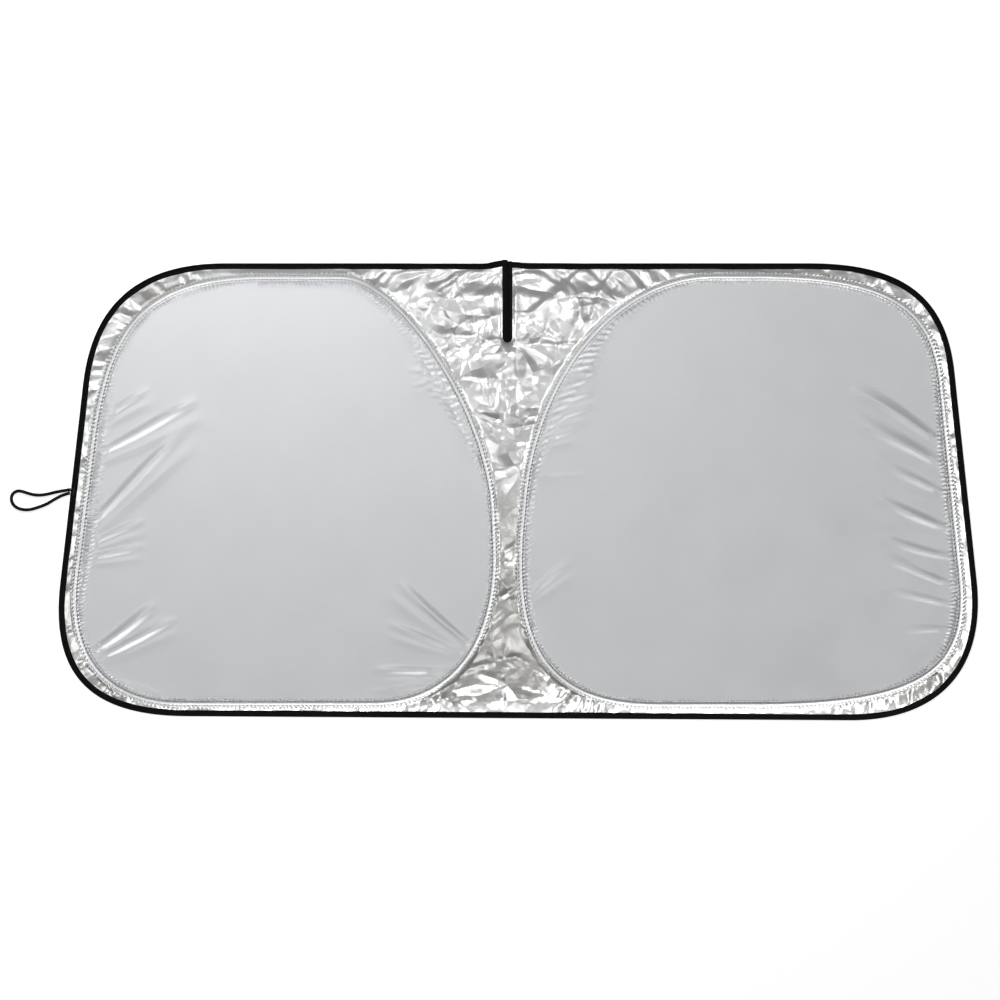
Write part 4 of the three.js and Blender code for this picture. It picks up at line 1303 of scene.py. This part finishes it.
    def heights(self, places: Row) -> tuple[Row, Row, Row, Row]:
        """The cloth's upper face.

        Args:
            places: Points of the cloth.

        Returns:
            The height of each, its signed distance from the hoop, its run along it, and its slackness.
        """
        distance, run, pick = self.beside_hoops(places)
        edge = self.edge_distance(places)
        x, y = places[:, 0], places[:, 1]
        slack = step(-1.0, 1.0, distance)
        from_slit = np.hypot(x - self.shape.slit_x, np.minimum(y - self.shape.slit_end_y, 0.0))
        free = np.clip(np.minimum(edge - self.under_tape, from_slit - self.under_slit_tape), 0.0, None)
        lean = free / (free + np.clip(distance - self.casing_half, 0.01, None))
        lap = self.sheet_top + (self.casing_lap_top - self.sheet_top) * lean * step(2.2, 4.4, distance)
        level = np.where(distance > 0, lap, self.panel_top)
        level = np.where((distance < 0) & (distance > -self.panel_start), self.sheet_top, level)
        held = step(*self.loose_from_casing, distance) * step(*self.loose_from_edge, edge)
        held *= step(*self.loose_from_slit, from_slit)
        loose = self.crumple_height(places, distance, run, edge) * held
        inner = step(6.5, 15.0, -distance)
        taut = self.fold_height(places, distance, pick) + self.panel_unevenness * swell(x, y, 120.0, 61)
        comb = np.abs(facets(run, distance * 0.2, 11.0, 33)) * step(6.5, 10.0, -distance)
        taut = taut * inner + self.pucker_rise * comb * (1.0 - step(10.0, 34.0, -distance))
        height = level + loose + taut * (distance < 0)
        return np.maximum(height, self.thickness + 0.12), distance, run, slack

    def comb(self, places: Row, distance: Row, run: Row) -> tuple[Row, Row]:
        """Where each place lies in the comb of fine puckers beside the seams.

        Args:
            places: Points of the cloth.
            distance: Their signed distances from the hoop.
            run: Their runs along it.

        Returns:
            The run, slanted as the puckers are, and the share of their reach.
        """
        pick = self.beside_hoops(places)[2]
        combed, reach = run.copy(), np.full(len(places), 9.0)
        for which, table in enumerate((COMB_LEFT, COMB_RIGHT)):
            at, far, lean, density = np.array(table).T
            long = self.hoops[which].length
            some = (pick == which) & (distance < 0)
            share = run[some] / long
            reach[some] = np.interp(share, at, far)
            depth = np.minimum(np.abs(distance[some]), 60.0)
            fine = np.linspace(0.0, 1.0, 2001)
            counted = np.cumsum(np.interp(fine, at, density)) * long / 2001
            slanted = share + np.interp(share, at, lean) * depth / long
            combed[some] = np.interp(slanted, fine, counted)
        return combed, np.minimum(np.abs(distance) / reach, 3.0)

    def build(self, finish: SilverFinish) -> bpy.types.Object:
        """Builds and dresses the cloth.

        Args:
            finish: Its finish.

        Returns:
            The finished piece.
        """
        rim = self.rim()
        count = len(rim)
        flat = np.vstack([rim, self.scattered()])
        edges = [(i, (i + 1) % count) for i in range(count)]
        made = delaunay_2d_cdt([Vector(p) for p in flat.tolist()], edges, [], 1, 1e-5, False)
        places = np.array([(p.x, p.y) for p in made[0]])
        top = np.array(made[2])
        a, b, c = (places[top[:, k]] for k in range(3))
        turn = (b[:, 0] - a[:, 0]) * (c[:, 1] - a[:, 1]) - (b[:, 1] - a[:, 1]) * (c[:, 0] - a[:, 0])
        top[turn < 0] = top[turn < 0][:, ::-1]
        top = top[np.abs(turn) > 1e-6]
        height, distance, run, slack = self.heights(places)
        combed, reach = self.comb(places, distance, run)
        total = len(places)
        upper = np.column_stack([places, height])
        points = np.vstack([upper, upper - [0.0, 0.0, self.thickness]])
        sides = np.vstack([top[:, [0, 1]], top[:, [1, 2]], top[:, [2, 0]]])
        back = set(map(tuple, sides[:, ::-1].tolist()))
        open_sides = [pair for pair in map(tuple, sides.tolist()) if pair not in back]
        walls = [(b, a, a + total, b + total) for a, b in open_sides]
        faces = top.tolist() + (top[:, ::-1] + total).tolist() + walls
        piece = new_piece("silver_cloth", points, faces)
        crumpled = slack * (0.45 + 0.55 * step(22.0, 50.0, self.edge_distance(places)))
        paint(piece, "slack", np.tile(slack, 2))
        paint(piece, "crumpled", np.tile(crumpled, 2))
        strip_uv(piece, "seam", np.tile(combed, 2), np.tile(reach * 100.0, 2))
        stood_for = ("surround_sheet", "left_panel", "right_panel")
        return finished(piece, finish.dress(), "taut_silver_cloth", *stood_for)


@dataclass
class HoopCasing:
    """A strip of cloth arched over a hoop, with a sewn flange on each side."""

    name: str
    track: Track
    section: tuple[tuple[float, float], ...] = (
        (-6.0, 2.9), (-4.4, 3.1), (-3.3, 4.4), (-2.2, 6.3), (-1.0, 7.0), (0.6, 6.8), (3.0, 6.0), (6.0, 5.0),
    )
    outs: tuple[float, ...] = (
        6.0, 5.2, 4.4, 3.7, 3.1, 2.5, 1.7, 0.8, 0.0, -0.8, -1.7, -2.5, -3.1, -3.7, -4.4, -5.2, -6.0,
    )
    thickness: float = 0.5
    row_out: float = 3.7
    flange: tuple[float, float] = (2.2, 4.2)
    pleat_pitch: float = 6.8
    pleat_rise: float = 0.2
    gathered_rise: float = 1.1
    thread_lift: float = 0.06
    seed: int = 1

    def profile(self) -> Row:
        """The strip's section at every station, upper face and then lower.

        Returns:
            For each station, the section's places as distance out and height.
        """
        spacing = self.track.length / len(self.track.points)
        run = np.arange(len(self.track.points)) * spacing
        r, o = np.meshgrid(run, np.array(self.outs), indexing="ij")
        arch = np.interp(o, *np.array(self.section).T)
        share = self.gathered()[:, None] * (0.75 + 0.25 * swell(r, r * 0.0, 70.0, self.seed + 3))
        turn = np.pi * r / self.pleat_pitch + 1.3 * swell(r, o * 0.0, 25.0, self.seed) + 0.5 * np.sign(o)
        wave = np.abs(np.sin(turn))
        on_flange = step(*self.flange, np.abs(o))
        lift = wave * (self.pleat_rise + self.gathered_rise * share) * (0.65 + 0.35 * on_flange)
        sewn = 1.0 - 0.5 * np.exp(-(((np.abs(o) - self.row_out) / 0.5) ** 2))
        height = arch + lift * sewn - 0.2 * (1.0 - on_flange)
        edge = 0.35 * facets(r, o * 0.0 + 9.0, 6.0, self.seed + 7) * step(4.6, 6.0, np.abs(o))
        out = o + np.sign(o) * np.minimum(edge, 0.0)
        upper = np.stack([out, height], axis=2)
        lower = np.stack([out, height - self.thickness], axis=2)
        return np.concatenate([upper, lower[:, ::-1]], axis=1)

    def gathered(self) -> Row:
        """How much each station is drawn together: most where the strip runs up the shade's sides."""
        return step(0.8, 0.99, np.abs(self.track.outward[:, 0]))

    def stitch_lines(self) -> list[Row]:
        """Points of its two rows of stitches.

        Returns:
            The outer row and then the inner one, as points in space.
        """
        profile = self.profile()
        lines = []
        for out in (self.row_out, -self.row_out):
            part = profile[:, self.outs.index(out)]
            flat = self.track.points + self.track.outward * part[:, :1]
            lines.append(np.column_stack([flat, part[:, 1] + self.thread_lift]))
        return lines

    def build(self, finish: bpy.types.Material) -> bpy.types.Object:
        """Builds and dresses the strip.

        Args:
            finish: Its material.

        Returns:
            The finished piece.
        """
        profile = self.profile()
        points, faces = sweep(self.track.points, self.track.outward, profile, True)
        piece = new_piece(f"{self.name}_casing_cloth", points, faces)
        count, around = profile.shape[:2]
        spacing = self.track.length / count
        strip_uv(piece, "strip", np.repeat(np.arange(count) * spacing, around), profile[:, :, 0].ravel())
        # The gathered value also sets how deep the painted shade in the casing's stitch dents is.
        paint(piece, "gathered", np.repeat(self.gathered(), around))
        return finished(piece, finish, "casing_silver_cloth", f"{self.name}_hoop_casing")


TAPE_SECTION = (
    (-10.0, 0.0), (-5.0, 0.0), (-0.9, 0.02), (-0.3, 0.2), (0.0, 0.6), (0.0, 0.95), (-0.3, 1.25),
    (-1.0, 1.5), (-2.5, 1.78), (-4.5, 2.0), (-7.0, 2.1), (-9.6, 2.04), (-10.0, 1.92), (-10.0, 1.62),
    (-7.0, 1.6), (-4.5, 1.5), (-2.5, 1.3), (-1.2, 1.1), (-0.6, 0.9), (-0.6, 0.7), (-1.2, 0.55),
    (-5.0, 0.5), (-10.0, 0.5),
)
TAPE_STITCH_PLACE = 10


@dataclass
class FoldedTape:
    """A black tape folded over an edge: round the shade, or round the mirror slit."""

    name: str
    node: str
    points: Row
    outward: Row
    width: float
    finish: bpy.types.Material
    ripple: float = 0.22
    seed: int = 5
    over_edge: float | None = None
    climb: float = 2.3
    climb_span: tuple[float, float] = (16.0, 11.0)
    place_spacing: float = 1.1
    thread_lift: float = 0.04

    def profile(self, run: Row) -> Row:
        """The tape's section at every station.

        Args:
            run: The run up to each station.

        Returns:
            For each station, the section's places as distance out and height.
        """
        section = np.array(TAPE_SECTION)
        section[:, 0] *= self.width / 10.0
        full = np.tile(section[None], (len(run), 1, 1))
        upper = step(1.5, 1.7, section[:, 1])[None, :]
        inner = step(-1.0, -self.width, section[:, 0])[None, :]
        wave = 0.5 + 0.5 * facets(run, run * 0.0 + 2.0, 8.0, self.seed)
        full[:, :, 1] += self.ripple * wave[:, None] * upper
        slow = swell(run, run * 0.0, 37.0, self.seed + 1)[:, None]
        full[:, :, 0] += 0.5 * slow * inner
        if self.over_edge is not None:
            low, high = (self.over_edge - below for below in self.climb_span)
            full[:, :, 1] += self.climb * step(low, high, self.points[:, 1])[:, None]
        return full

    def build(self) -> bpy.types.Object:
        """Builds and dresses the tape.

        Returns:
            The finished piece.
        """
        run = runs_along(self.points)
        profile = self.profile(run)
        points, faces = sweep(self.points, self.outward, profile, False)
        piece = new_piece(self.name, points, faces)
        across = np.tile(np.arange(profile.shape[1]) * self.place_spacing, len(run))
        strip_uv(piece, "strip", np.repeat(run, profile.shape[1]), across)
        return finished(piece, self.finish, "black_tape", self.node)

    def stitch_line(self) -> Row:
        """Points of its row of stitches, near its inner edge.

        Returns:
            The points in space.
        """
        run = runs_along(self.points)
        place = self.profile(run)[:, TAPE_STITCH_PLACE]
        flat = self.points + self.outward * place[:, :1]
        return np.column_stack([flat, place[:, 1] + self.thread_lift])


def slit_stations(shape: CutShape) -> tuple[Row, Row]:
    """The slit's edge, down one side, round its end and up the other.

    Args:
        shape: The cut shape.

    Returns:
        The stations and the way out of the cloth at each.
    """
    gap, x, end = -0.5, shape.slit_x, shape.slit_end_y
    top = shape.top_y + float(shape.shift[1])
    left_top = top + shape.peak_rise[0] + 0.5
    right_top = top + shape.peak_rise[1] + 0.5
    down = np.linspace(left_top, end, 55)[:-1]
    up = np.linspace(end, right_top, 55)[1:]
    turn = np.linspace(math.pi, 2.0 * math.pi, 25)
    places = [(x - gap, y) for y in down] + [(x + gap * math.cos(t), end) for t in turn]
    places += [(x + gap, y) for y in up]
    ways = [(1.0, 0.0)] * len(down) + [(-math.cos(t), -math.sin(t)) for t in turn]
    ways += [(-1.0, 0.0)] * len(up)
    return np.array(places), np.array(ways)


@dataclass
class ElasticLoop:
    """The elastic cord loop that holds the shade when it is twisted up."""

    shape: CutShape
    diameter: float = 5.4
    floor_gap: float = 0.2
    sides: int = 24
    spacing: float = 0.6
    braid_depth: float = 0.1
    braid_pitch: float = 7.0
    smoothing_reach: int = 9
    smoothing_passes: int = 3
    route: tuple[tuple[float, float], ...] = (
        (-729.4, 3.1), (-742, 1), (-754, -1), (-765, -4), (-777, -6), (-788, -6), (-796, -4), (-805, -1),
        (-811, 1), (-817, 2), (-822, -1), (-826, -5), (-827, -11), (-826, -17), (-822, -24), (-815, -28),
        (-806, -30), (-796, -30), (-786, -27), (-777, -24), (-767, -20), (-758, -14), (-749, -9),
        (-740, -5), (-730.6, -2.4),
    )

    def middle(self) -> Row:
        """Its smooth middle line, as points in space.

        Returns:
            The points, from the upper end at the tack to the lower one.
        """
        given = np.array(self.route) + self.shape.shift
        ends = np.vstack([2 * given[0] - given[1], given, 2 * given[-1] - given[-2]])
        dense = []
        for k in range(len(given) - 1):
            p = ends[k : k + 4]
            knots = runs_along(p, 0.5)
            for t in np.linspace(knots[1], knots[2], 24, endpoint=False):
                row = list(p)
                for level in (1, 2, 3):
                    for i in range(len(row) - 1):
                        late, early = knots[i + level] - t, t - knots[i]
                        row[i] = (row[i] * late + row[i + 1] * early) / (knots[i + level] - knots[i])
                    row.pop()
                dense.append(row[0])
        dense.append(given[-1])
        track = Track.through(np.array(dense), False, self.spacing)
        line, reach = track.points, self.smoothing_reach
        shares = np.full(2 * reach + 1, 1.0 / (2 * reach + 1))
        for _ in range(self.smoothing_passes):
            before = 2.0 * line[:1] - line[reach:0:-1]
            after = 2.0 * line[-1:] - line[-2 : -reach - 2 : -1]
            long = np.vstack([before, line, after])
            line = np.stack([np.convolve(long[:, k], shares, "valid") for k in (0, 1)], axis=1)
        height = np.full(len(line), self.diameter / 2.0 + self.floor_gap)
        return np.column_stack([line, height])

    def build(self, finish: bpy.types.Material) -> bpy.types.Object:
        """Args:
            finish: Its material.

        Returns:
            The finished piece.
        """
        line = self.middle()
        along = np.gradient(line, axis=0)
        along /= np.linalg.norm(along, axis=1)[:, None]
        beside = np.stack([-along[:, 1], along[:, 0], np.zeros(len(line))], axis=1)
        run = runs_along(line)
        angle = np.linspace(0.0, 2.0 * math.pi, self.sides, endpoint=False)
        s, t = np.meshgrid(run, angle, indexing="ij")
        twist = 2.0 * math.pi * s / self.braid_pitch
        braid = np.cos(6 * t + twist * 3) * np.cos(6 * t - twist * 3)
        radius = self.diameter / 2.0 - self.braid_depth * (0.5 + 0.5 * braid)
        up = np.array([0.0, 0.0, 1.0])
        points = (
            line[:, None, :]
            + beside[:, None, :] * (radius * np.cos(t))[:, :, None]
            + up * (radius * np.sin(t))[:, :, None]
        ).reshape(-1, 3)
        # The rings run the other way round here, so each face is turned over.
        *quads, first_cap, last_cap = tube_faces(len(line), self.sides)
        faces = [(a, d, c, b) for a, b, c, d in quads] + [first_cap[::-1], last_cap[::-1]]
        piece = new_piece("elastic_loop_cord", points, faces)
        finished(piece, finish, "black_elastic", "elastic_loop")
        return piece


class ThreadKind(Enum):
    """The kinds of stitch rows on the shade: length and radius of a stitch, and its turn."""

    SILVER_SEAM = (3.3, 0.27, 4.6, 0.0)
    BLACK_SEAM = (2.8, 0.24, 3.6, 0.0)
    BAR_TACK = (4.4, 0.24, 0.5, 90.0)


@dataclass
class StitchRows:
    """Rows of stitches along lines, all of one kind and on one piece."""

    name: str
    lines: list[tuple[Row, bool]]
    kind: ThreadKind
    material: bpy.types.Material
    slot: str
    seed: int = 3
    jitter: float = 0.07

    def tree(self) -> tuple[bpy.types.NodeTree, dict[str, str]]:
        """The node tree that lays a stitch at every pitch.

        Returns:
            The tree and its inputs' identifiers, by name.
        """
        tree = bpy.data.node_groups.new(f"{self.name}_rows", "GeometryNodeTree")
        face = tree.interface
        face.new_socket("Rows", in_out="INPUT", socket_type="NodeSocketGeometry")
        names = {}
        for label in ("Pitch", "Length", "Radius", "Turn"):
            socket = face.new_socket(label, in_out="INPUT", socket_type="NodeSocketFloat")
            names[label] = socket.identifier
        face.new_socket("Stitches", in_out="OUTPUT", socket_type="NodeSocketGeometry")

        board = Board(tree)
        given = board.node("NodeGroupInput", out="Rows")
        curve = board.node("GeometryNodeMeshToCurve", {}, {"Mesh": given})
        spaced = {"Curve": curve, "Length": given.other("Pitch")}
        even = board.node("GeometryNodeResampleCurve", {"mode": "LENGTH"}, spaced)
        ball = board.node("GeometryNodeMeshUVSphere", {}, {"Segments": 6, "Rings": 4, "Radius": 1.0}, "Mesh")
        radius = given.other("Radius")
        sizes = {"X": given.other("Length") * 0.5, "Y": radius, "Z": radius}
        scale = board.node("ShaderNodeCombineXYZ", {}, sizes)
        shaped = board.node("GeometryNodeTransform", {}, {"Geometry": ball, "Scale": scale})
        tangent = board.node("GeometryNodeInputTangent")
        aligned = board.node("FunctionNodeAlignRotationToVector", {"axis": "X"}, {"Vector": tangent})
        limits = {2: -self.jitter, 3: self.jitter, "Seed": self.seed}
        jitter = board.node("FunctionNodeRandomValue", {"data_type": "FLOAT"}, limits, 1)
        angle = board.node("ShaderNodeMath", {"operation": "RADIANS"}, {0: given.other("Turn")}) + jitter
        euler = board.node("ShaderNodeCombineXYZ", {}, {"Z": angle})
        rotation = board.node("FunctionNodeEulerToRotation", {}, {0: euler})
        both = {0: aligned, 1: rotation}
        turned = board.node("FunctionNodeRotateRotation", {"rotation_space": "LOCAL"}, both)
        laid = {"Points": even, "Instance": shaped, "Rotation": turned}
        placed = board.node("GeometryNodeInstanceOnPoints", {}, laid)
        real = board.node("GeometryNodeRealizeInstances", {}, {0: placed})
        smooth = board.node("GeometryNodeSetShadeSmooth", {}, {0: real})
        dressed = {"Geometry": smooth, "Material": self.material}
        board.node("NodeGroupOutput", {}, {0: board.node("GeometryNodeSetMaterial", {}, dressed)})
        return tree, names

    def build(self) -> bpy.types.Object:
        """Builds the rows as one plain mesh.

        Returns:
            The finished piece.
        """
        points, edges = [], []
        for line, closed in self.lines:
            first = len(points)
            points += (line * MM).tolist()
            edges += [(first + i, first + i + 1) for i in range(len(line) - 1)]
            if closed:
                edges.append((first + len(line) - 1, first))
        guide_mesh = bpy.data.meshes.new(f"{self.name}_guide")
        guide_mesh.from_pydata(points, edges, [])
        guide = bpy.data.objects.new(f"{self.name}_guide", guide_mesh)
        bpy.context.scene.collection.objects.link(guide)
        tree, names = self.tree()
        modifier = guide.modifiers.new("rows", "NODES")
        modifier.node_group = tree
        length, radius, pitch, turn = self.kind.value
        sizes = {"Pitch": pitch * MM, "Length": length * MM, "Radius": radius * MM, "Turn": turn}
        for label, value in sizes.items():
            modifier[names[label]] = value
        graph = bpy.context.evaluated_depsgraph_get()
        mesh = bpy.data.meshes.new_from_object(guide.evaluated_get(graph))
        guide.modifiers.clear()
        bpy.data.objects.remove(guide)
        mesh.name = self.name
        if not mesh.materials:
            mesh.materials.append(self.material)
        piece = bpy.data.objects.new(self.name, mesh)
        bpy.context.scene.collection.objects.link(piece)
        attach(piece, BODY)
        LOG.info("%s: %d faces", self.name, len(mesh.polygons))
        return piece


@dataclass
class LoopTack:
    """The stitched bar where the loop's ends go into the binding."""

    length: float = 13.0
    width: float = 3.5
    core_share: float = 0.86
    stations: int = 21
    sides: int = 16
    stitches: int = 30

    def frame(self) -> tuple[Row, Row, float, float]:
        """Its middle, its direction, and its lowest and highest places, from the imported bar.

        Returns:
            The four values, in that order.
        """
        low, high = (np.array(corner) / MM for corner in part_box("loop_bar_tack"))
        middle = (low[:2] + high[:2]) / 2.0
        lean = (high[0] - low[0] - self.width) / self.length
        along = np.array([lean, math.sqrt(1.0 - lean * lean)])
        return middle, along, float(low[2]), float(high[2])

    def build(self, finish: bpy.types.Material) -> bpy.types.Object:
        """Builds the padded core of the bar.

        Args:
            finish: Its material.

        Returns:
            The finished piece.
        """
        middle, along, low, high = self.frame()
        beside = np.array([along[1], -along[0]])
        section = np.linspace(0.0, 2.0 * math.pi, self.sides, endpoint=False)
        rows = []
        for share in np.linspace(-1.0, 1.0, self.stations):
            size = max(0.12, (1.0 - abs(share) ** 6)) ** 0.5
            for angle in section:
                flat = middle + along * share * self.length / 2.0
                flat = flat + beside * math.cos(angle) * self.width / 2.0 * self.core_share * size
                rows.append((*flat, (low + high) / 2.0 - 0.1 + math.sin(angle) * (high - low) / 2.0 * size))
        piece = new_piece("loop_tack_core", np.array(rows), tube_faces(self.stations, self.sides))
        return finished(piece, finish, "black_thread", "loop_bar_tack")

    def stitch_line(self) -> Row:
        """Points of the line that its satin stitches cross.

        Returns:
            The points in space.
        """
        middle, along, _, high = self.frame()
        shares = np.linspace(-0.47, 0.47, self.stitches)[:, None]
        flat = middle + along * shares * self.length
        return np.column_stack([flat, np.full(self.stitches, high - 0.22)])


# ---- Studio ---------------------------------------------------------------------------------------


@dataclass(frozen=True)
class Lamp:
    """A square lamp that faces the shade: its place in metres, its power and its side."""

    name: str
    at: tuple[float, float, float]
    power: float
    size: float
    in_gloss: bool = True
    in_matte: bool = True


@dataclass
class Studio:
    """The floor, the light and the camera."""

    middle: tuple[float, float] = (-0.0298, -0.0159)
    width: float = 1.63
    height: float = 8.0
    sensor: float = 36.0
    far_clip: float = 60.0
    floor_half: float = 30000.0
    floor_z: float = -0.3
    world: float = 0.17
    world_colour: tuple[float, float, float] = (1.0, 0.975, 0.94)
    lamps: tuple[Lamp, ...] = (
        Lamp("window_lamp", (0.8, -4.1, 3.4), 142.0, 2.4, True, False),
        Lamp("right_lamp", (3.4, -0.6, 3.4), 80.0, 2.4, True, False),
        Lamp("left_lamp", (-3.4, -0.8, 3.4), 50.0, 2.4, True, False),
        Lamp("overhead_lamp", (-0.7, 1.7, 9.6), 103.0, 3.0),
        Lamp("ceiling_lamp", (-0.6, 1.0, 1.2), 26.0, 0.6, False),
    )

    def camera(self) -> None:
        """Looks straight down from far off, with the picture's top towards the slit's edge."""
        data = bpy.data.cameras.new("camera")
        data.sensor_width = self.sensor
        data.lens = self.sensor * self.height / self.width
        data.clip_end = self.far_clip
        camera = bpy.data.objects.new("camera", data)
        camera.location = (*self.middle, self.height)
        bpy.context.scene.collection.objects.link(camera)
        bpy.context.scene.camera = camera

    @staticmethod
    def light(lamp: Lamp) -> None:
        """Adds a lamp.

        Args:
            lamp: Its sizes.
        """
        data = bpy.data.lights.new(lamp.name, "AREA")
        data.energy = lamp.power
        data.color = (0.965, 0.982, 1.0)
        data.shape = "SQUARE"
        data.size = lamp.size
        made = bpy.data.objects.new(lamp.name, data)
        made.location = lamp.at
        made.rotation_euler = Vector(lamp.at).to_track_quat("Z", "Y").to_euler()
        made.visible_glossy = lamp.in_gloss
        made.visible_diffuse = lamp.in_matte
        bpy.context.scene.collection.objects.link(made)

    def floor(self) -> None:
        """Lays the pale floor, white to the camera, that keeps the shade's shadow."""
        board = Board.for_material("floor")
        path = board.node("ShaderNodeLightPath", out="Is Camera Ray")
        gloss = board.node("ShaderNodeLightPath", out="Is Glossy Ray")
        through = board.node("ShaderNodeLightPath", out="Is Transmission Ray")
        plain = board.node("ShaderNodeBsdfDiffuse", {}, {"Color": (0.78, 0.78, 0.78)})
        lit = board.node("ShaderNodeBsdfDiffuse", {}, {"Color": (0.45, 0.45, 0.45)})
        white = board.node("ShaderNodeEmission", {}, {"Color": (1.0, 1.0, 1.0), "Strength": 0.78})
        both = board.node("ShaderNodeAddShader", {}, {0: lit, 1: white})
        seen = path + gloss + through
        mixed = board.node("ShaderNodeMixShader", {}, {0: seen, 1: plain, 2: both})
        signs = ((-1, -1), (1, -1), (1, 1), (-1, 1))
        corners = np.array([(x * self.floor_half, y * self.floor_half, self.floor_z) for x, y in signs])
        floor = new_piece("floor", corners, [(0, 1, 2, 3)], False)
        floor.data.materials.append(board.close(mixed))

    def sky(self) -> None:
        """Fills the room with a soft, even light."""
        board = Board(bpy.data.worlds.new("room"))
        values = {"Color": self.world_colour, "Strength": self.world}
        soft = board.node("ShaderNodeBackground", {}, values)
        bpy.context.scene.world = board.close(soft, "ShaderNodeOutputWorld")

    def build(self) -> None:
        """Builds the studio."""
        self.camera()
        self.sky()
        self.floor()
        for lamp in self.lamps:
            self.light(lamp)
        bpy.context.scene.view_settings.view_transform = "Standard"


def main() -> None:
    """Builds the shade and its studio."""
    logging.basicConfig(level=logging.INFO, format="%(name)s: %(message)s")
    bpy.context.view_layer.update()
    Studio().build()
    shape = CutShape()
    # The casing's stitch thread is painted darker than its silver grey, as painted shade for the dimples the
    # stitches sink into.
    silver_thread = ThreadFinish("silver_thread", (0.2, 0.2, 0.2)).dress()
    black_thread = ThreadFinish("black_thread", (0.012, 0.012, 0.013)).dress()
    elastic = ThreadFinish("black_elastic", (0.003, 0.003, 0.003), 0.8).dress()
    tape = TapeFinish().dress()
    casing_finish = CasingFinish().dress()
    steel = SteelFinish().dress()

    ElasticLoop(shape).build(elastic)
    tack = LoopTack()
    tack.build(black_thread)
    tack_rows = [(tack.stitch_line(), False)]
    StitchRows(
        "loop_tack_stitches", tack_rows, ThreadKind.BAR_TACK, black_thread, "black_thread"
    ).build()

    outline = shape.outline()
    margins = (shape.left_hoop, shape.right_hoop)
    hoops = tuple(shape.hoop(rounding) for rounding in margins)
    cloth = SilverCloth(shape, outline, hoops).build(SilverFinish())
    casings, rows = [], []
    for number, (side, rounding) in enumerate(zip(("left", "right"), margins)):
        casing = HoopCasing(side, shape.hoop(rounding, 1.35), seed=70 + 20 * number)
        casings.append(casing.build(casing_finish))
        rows += [(stitches, True) for stitches in casing.stitch_lines()]
    seams = StitchRows(
        "casing_stitches", rows, ThreadKind.SILVER_SEAM, silver_thread, "casing_silver_cloth"
    ).build()

    edge_tape = FoldedTape("edge_tape", "edge_binding", outline.points, outline.outward, 10.0, tape)
    slit_points, slit_ways = slit_stations(shape)
    slit_tape = FoldedTape("slit_tape", "slit_binding", slit_points, slit_ways, 8.7, tape, 0.1, 9)
    slit_tape.over_edge = shape.top_y + float(shape.shift[1])
    tapes = [edge_tape.build(), slit_tape.build()]
    tape_rows = [(edge_tape.stitch_line(), False), (slit_tape.stitch_line(), False)]
    tape_seams = StitchRows(
        "tape_stitches", tape_rows, ThreadKind.BLACK_SEAM, black_thread, "black_thread"
    ).build()

    for node in ("left_spring_hoop", "right_spring_hoop", "left_hoop_ferrule", "right_hoop_ferrule"):
        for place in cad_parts[node].material_slots:
            place.material = steel


if __name__ == "__main__":
    main()
